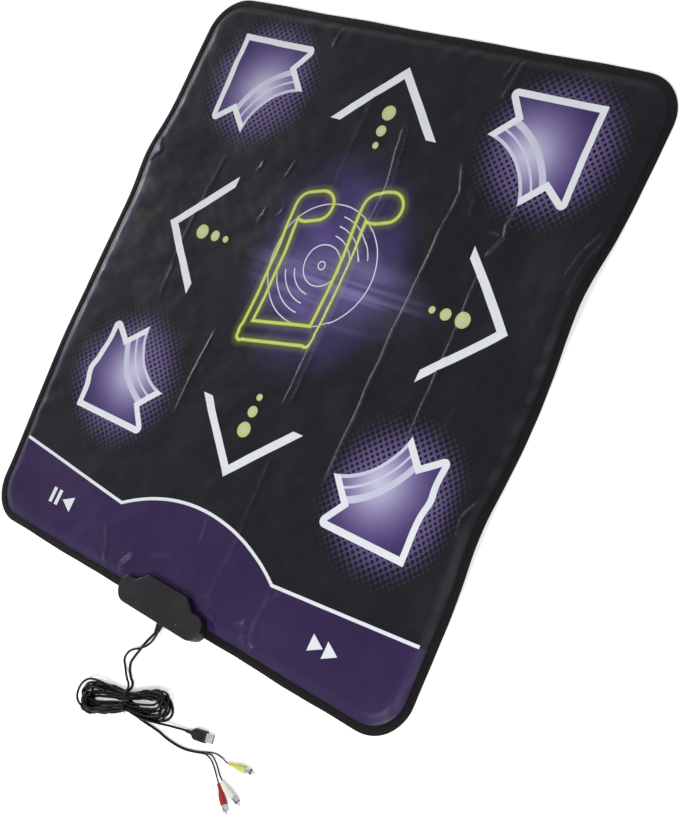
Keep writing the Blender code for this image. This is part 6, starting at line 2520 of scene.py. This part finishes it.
@dataclass
class Studio:
    """White floor, pale surroundings, soft lamps and the photograph's camera."""

    eye: Vector = Vector((-1.1597, 0.1587, 1.4129))
    across: Vector = Vector((-0.7449, -0.4134, -0.5237))
    down: Vector = Vector((-0.3134, 0.9097, -0.2724))
    ahead: Vector = Vector((0.5890, -0.0388, -0.8072))
    lens: float = 56.9
    sensor: float = 36.0
    soft_light: float = 0.27
    floor_half: float = 6.0
    floor_cells: int = 24
    floor_z: float = -0.0002
    # each lamp's place, size and power
    lamps: tuple[tuple[str, Triple, Pair, float], ...] = (
        ("behind the camera", (-2.0, 0.7, 1.9), (1.5, 1.5), 34.0),
        ("key", (-0.3, 1.9, 2.2), (0.9, 0.6), 35.0),
        ("low", (2.9, -0.4, 0.5), (1.0, 0.35), 28.0),
    )

    def camera(self) -> None:
        """Stand the camera where the photograph was taken."""
        data = bpy.data.cameras.new("camera")
        data.sensor_fit = "VERTICAL"
        data.sensor_height = data.sensor_width = self.sensor
        data.lens = self.lens
        data.clip_end = 60.0
        made = link_object("camera", data)
        turn = Matrix((self.across, -self.down, -self.ahead)).transposed()
        made.matrix_world = Matrix.Translation(self.eye) @ turn.to_4x4()
        bpy.context.scene.camera = made

    def lamp(self, name: str, place: Triple, size: Pair, power: float) -> None:
        """Hang one large soft lamp, turned to the middle of the mat.

        Args:
            name: The lamp's name.
            place: Where it hangs, in metres.
            size: Its two sides, in metres.
            power: Its power, in watts.
        """
        data = bpy.data.lights.new(name, "AREA")
        data.shape = "RECTANGLE"
        data.size, data.size_y = size
        data.energy = power
        made = link_object(name, data)
        made.location = place
        made.rotation_euler = (-Vector(place)).to_track_quat("-Z", "Y").to_euler()

    def seen(self, graph: Graph) -> Flow:
        """Pick the rays that see the surroundings: the camera's, and those off metal and through glass.

        Args:
            graph: The graph of a material or the world.

        Returns:
            One for those rays, and zero for others.
        """
        path = graph.add("LightPath").outputs
        kinds = ("Camera", "Glossy", "Transmission")
        return graph.most(*(Flow(graph, path[f"Is {kind} Ray"]) for kind in kinds))

    def surroundings(self) -> None:
        """White to the camera and to mirrors, and a plain soft light on the object."""
        world = bpy.data.worlds.new("studio")
        bpy.context.scene.world = world
        world.use_nodes = True
        world.node_tree.nodes.clear()
        graph = Graph(world.node_tree)
        light = graph.read(0, "Background", {"Color": WHITE, "Strength": self.soft_light})
        white = graph.read(0, "Background", {"Color": WHITE, "Strength": 1.0})
        mixed = graph.read(0, "MixShader", {0: self.seen(graph), 1: light, 2: white})
        graph.add("OutputWorld", {"Surface": mixed})

    def floor(self) -> None:
        """Lay a white floor, lifted to white for the camera but keeping the mat's shadow."""
        wide = self.floor_cells + 1
        grid = np.linspace(-self.floor_half, self.floor_half, wide)
        points = np.array([(x, y, self.floor_z) for y in grid for x in grid])
        corners = [row * wide + column for row in range(wide - 1) for column in range(wide - 1)]
        floor = place_mesh("floor", points, [(k, k + 1, k + wide + 1, k + wide) for k in corners])
        made, graph = blank_material("Studio paper")
        place = graph.body()
        paper = graph.mix(graph.noise(place, 30.0, 3.0), "f4f4f4", "fafafa")
        diffuse = graph.read(0, "BsdfDiffuse", {"Color": paper})
        away = graph.read("Value", "VectorMath", {0: place}, operation="LENGTH")
        lit = graph.read(0, "Emission", {"Color": WHITE, "Strength": graph.ramp(away, 0.9, 3.0, 0.4, 0.76)})
        both = graph.read(0, "AddShader", {0: diffuse, 1: lit})
        mixed = graph.read(0, "MixShader", {0: self.seen(graph), 1: diffuse, 2: both})
        graph.add("OutputMaterial", {"Surface": mixed})
        floor.data.materials.append(made)

    def build(self) -> None:
        """Set the camera, the light and the floor."""
        self.camera()
        self.surroundings()
        self.floor()
        for name, place, size, power in self.lamps:
            self.lamp(name, place, size, power)
        bpy.context.scene.view_settings.view_transform = "Standard"


def moulded_looks() -> dict[str, Finish]:
    """Name the finish of each hard piece, by the start or end of its node's name.

    Returns:
        A finish for each pattern of nodes' names.
    """
    metal = {"metallic": 1.0, "grain": 2600.0, "depth": 0.000006, "wear": 0.0, "dust": 0.05}
    plain, grip = (0.4, 0.5), (0.3, 0.42)
    shell = {"gloss": (0.36, 0.44), "dust": 0.06, "reach": 0.0012}
    looks: dict[str, tuple[str, str, str, str, dict[str, object]]] = {
        "box_top_shell": ("Box top plastic", "box_top", "161619", "19191d", shell),
        "box_bottom_shell": ("Box base plastic", "box_bottom", "151518", "1a1a1d",
                             {"gloss": plain, "dust": 0.08}),
        "case_screw": ("Screw steel", "screw", "a9a9ad", "8f8f94", metal | {"gloss": (0.28, 0.4)}),
        "control_chip": ("Chip resin", "chip", "121214", "1b1b1d", {"gloss": (0.35, 0.5)}),
        "power_light": ("Lamp lens", "lamp", "2c0b0d", "3a0f12",
                        {"gloss": (0.08, 0.16), "coat": 1.0, "wear": 0.1}),
        "light_spacer": ("Lamp spacer plastic", "lamp_spacer", "141416", "1d1d20", {}),
        "switch_body": ("Switch case steel", "switch_case", "9d9da2", "86868c", metal | {"gloss": grip}),
        "switch_knob": ("Switch knob plastic", "switch_knob", "17171a", "202024", {"gloss": (0.35, 0.5)}),
        "cord_boot": ("Boot rubber", "boot", "0c0c0e", "121214",
                      {"gloss": (0.5, 0.62), "grain": 1600.0, "dust": 0.04}),
        "board_wires": ("Wire insulation", "wires", "8f1d18", "7a1713", {"gloss": grip}),
        "usb_plug_grip": ("Black grip plastic", "usb_grip", "101012", "161619",
                          {"gloss": (0.32, 0.44), "dust": 0.04}),
        "usb_plug_shell": ("Pressed tin shell", "usb_shell", "c4c4c8", "b0b0b6",
                           metal | {"gloss": (0.16, 0.28)}),
        "usb_plug_tongue": ("White nylon", "usb_tongue", "dcdcd6", "cfcfc8", {"gloss": plain}),
        "yellow_plug_grip": ("Yellow vinyl", "yellow_grip", "d6d26c", "ccc85e",
                             {"gloss": grip, "worn": "e4dd90"}),
        "red_plug_grip": ("Red vinyl", "red_grip", "a93630", "9a2c28", {"gloss": grip, "worn": "c96a62"}),
        "white_plug_grip": ("White vinyl", "white_grip", "e9e9e8", "dededd",
                            {"gloss": grip, "worn": "ffffff"}),
        "plug_ring": ("Plated ring", "plug_metal", "c9c9cc", "b4b4ba", metal | {"gloss": (0.12, 0.22)}),
        "plug_pin": ("Plated pin", "plug_metal", "c9c9cc", "b9b9be", metal | {"gloss": (0.12, 0.2)}),
        "plug_insulator": ("Black insulator", "insulator", "141415", "1c1c1e", {"gloss": plain}),
    }
    return {
        "circuit_board": BoardFinish("Circuit board", "board"),
        "contact_pressure_strip": Foam("Pressure strip rubber", "pressure_strip", "b9b2a6", "a8a196", 900.0),
        **{node: Moulded(*names, **values) for node, (*names, values) in looks.items()},
    }


def report(title: str, pieces: list[Piece]) -> list[Piece]:
    """Log the names of the pieces that a class has built, and pass them on."""
    log.info("%s: %s", title, ", ".join(piece.name for piece in pieces))
    return pieces


def main() -> None:
    """Build the mat from the skin down, then the box, the cords and the studio."""
    logging.basicConfig(level=logging.INFO, format="%(name)s: %(message)s")
    relief = MatRelief()
    pads = [StepPad.read(name) for name in STEPS]
    panels = report("cover", TopCover(relief, PrintedVinyl("Printed vinyl", "cover")).build(pads))
    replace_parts(panels[0], "top_cover")
    tape = Tape("Edge tape", "binding", "070708", "0c0c0e", 0.0011, 0.00022)
    thread = Tape("Sewing thread", "binding", "1d1d21", "26262b", 0.0004, 0.0001)
    edging = report("edging", EdgeTape(relief, tape, thread).build())
    cushion = Foam("Cushion foam", "foam", "c9c6bb", "bab7ac")
    film = ContactFilm("Contact film", "film")
    looks = {
        Layer.BOTTOM: DottedUnderside("Dotted underside", "underside"),
        Layer.LOWER_FILM: film,
        Layer.SPACER: Foam("Spacer foam", "spacer", "dddbd2", "cfcdc4", 300.0),
        Layer.UPPER_FILM: film,
        Layer.CUSHION: cushion,
    }
    layers = report("layers", InnerLayers(relief).build(pads, looks, cushion))
    rubber = Moulded("Cord rubber", "cord", "040405", "070708", (0.26, 0.36), grain=2200.0, depth=0.00001,
                     wear=0.0, dust=0.01, specular=0.16)
    tie = Tape("Twist tie", "tie", "0c0c0e", "141416", 0.0009, 0.00008)
    report("cords", CordSet(rubber, tie).build())
    report("hard parts", HardParts(moulded_looks()).build())
    Studio().build()


if __name__ == "__main__":
    main()
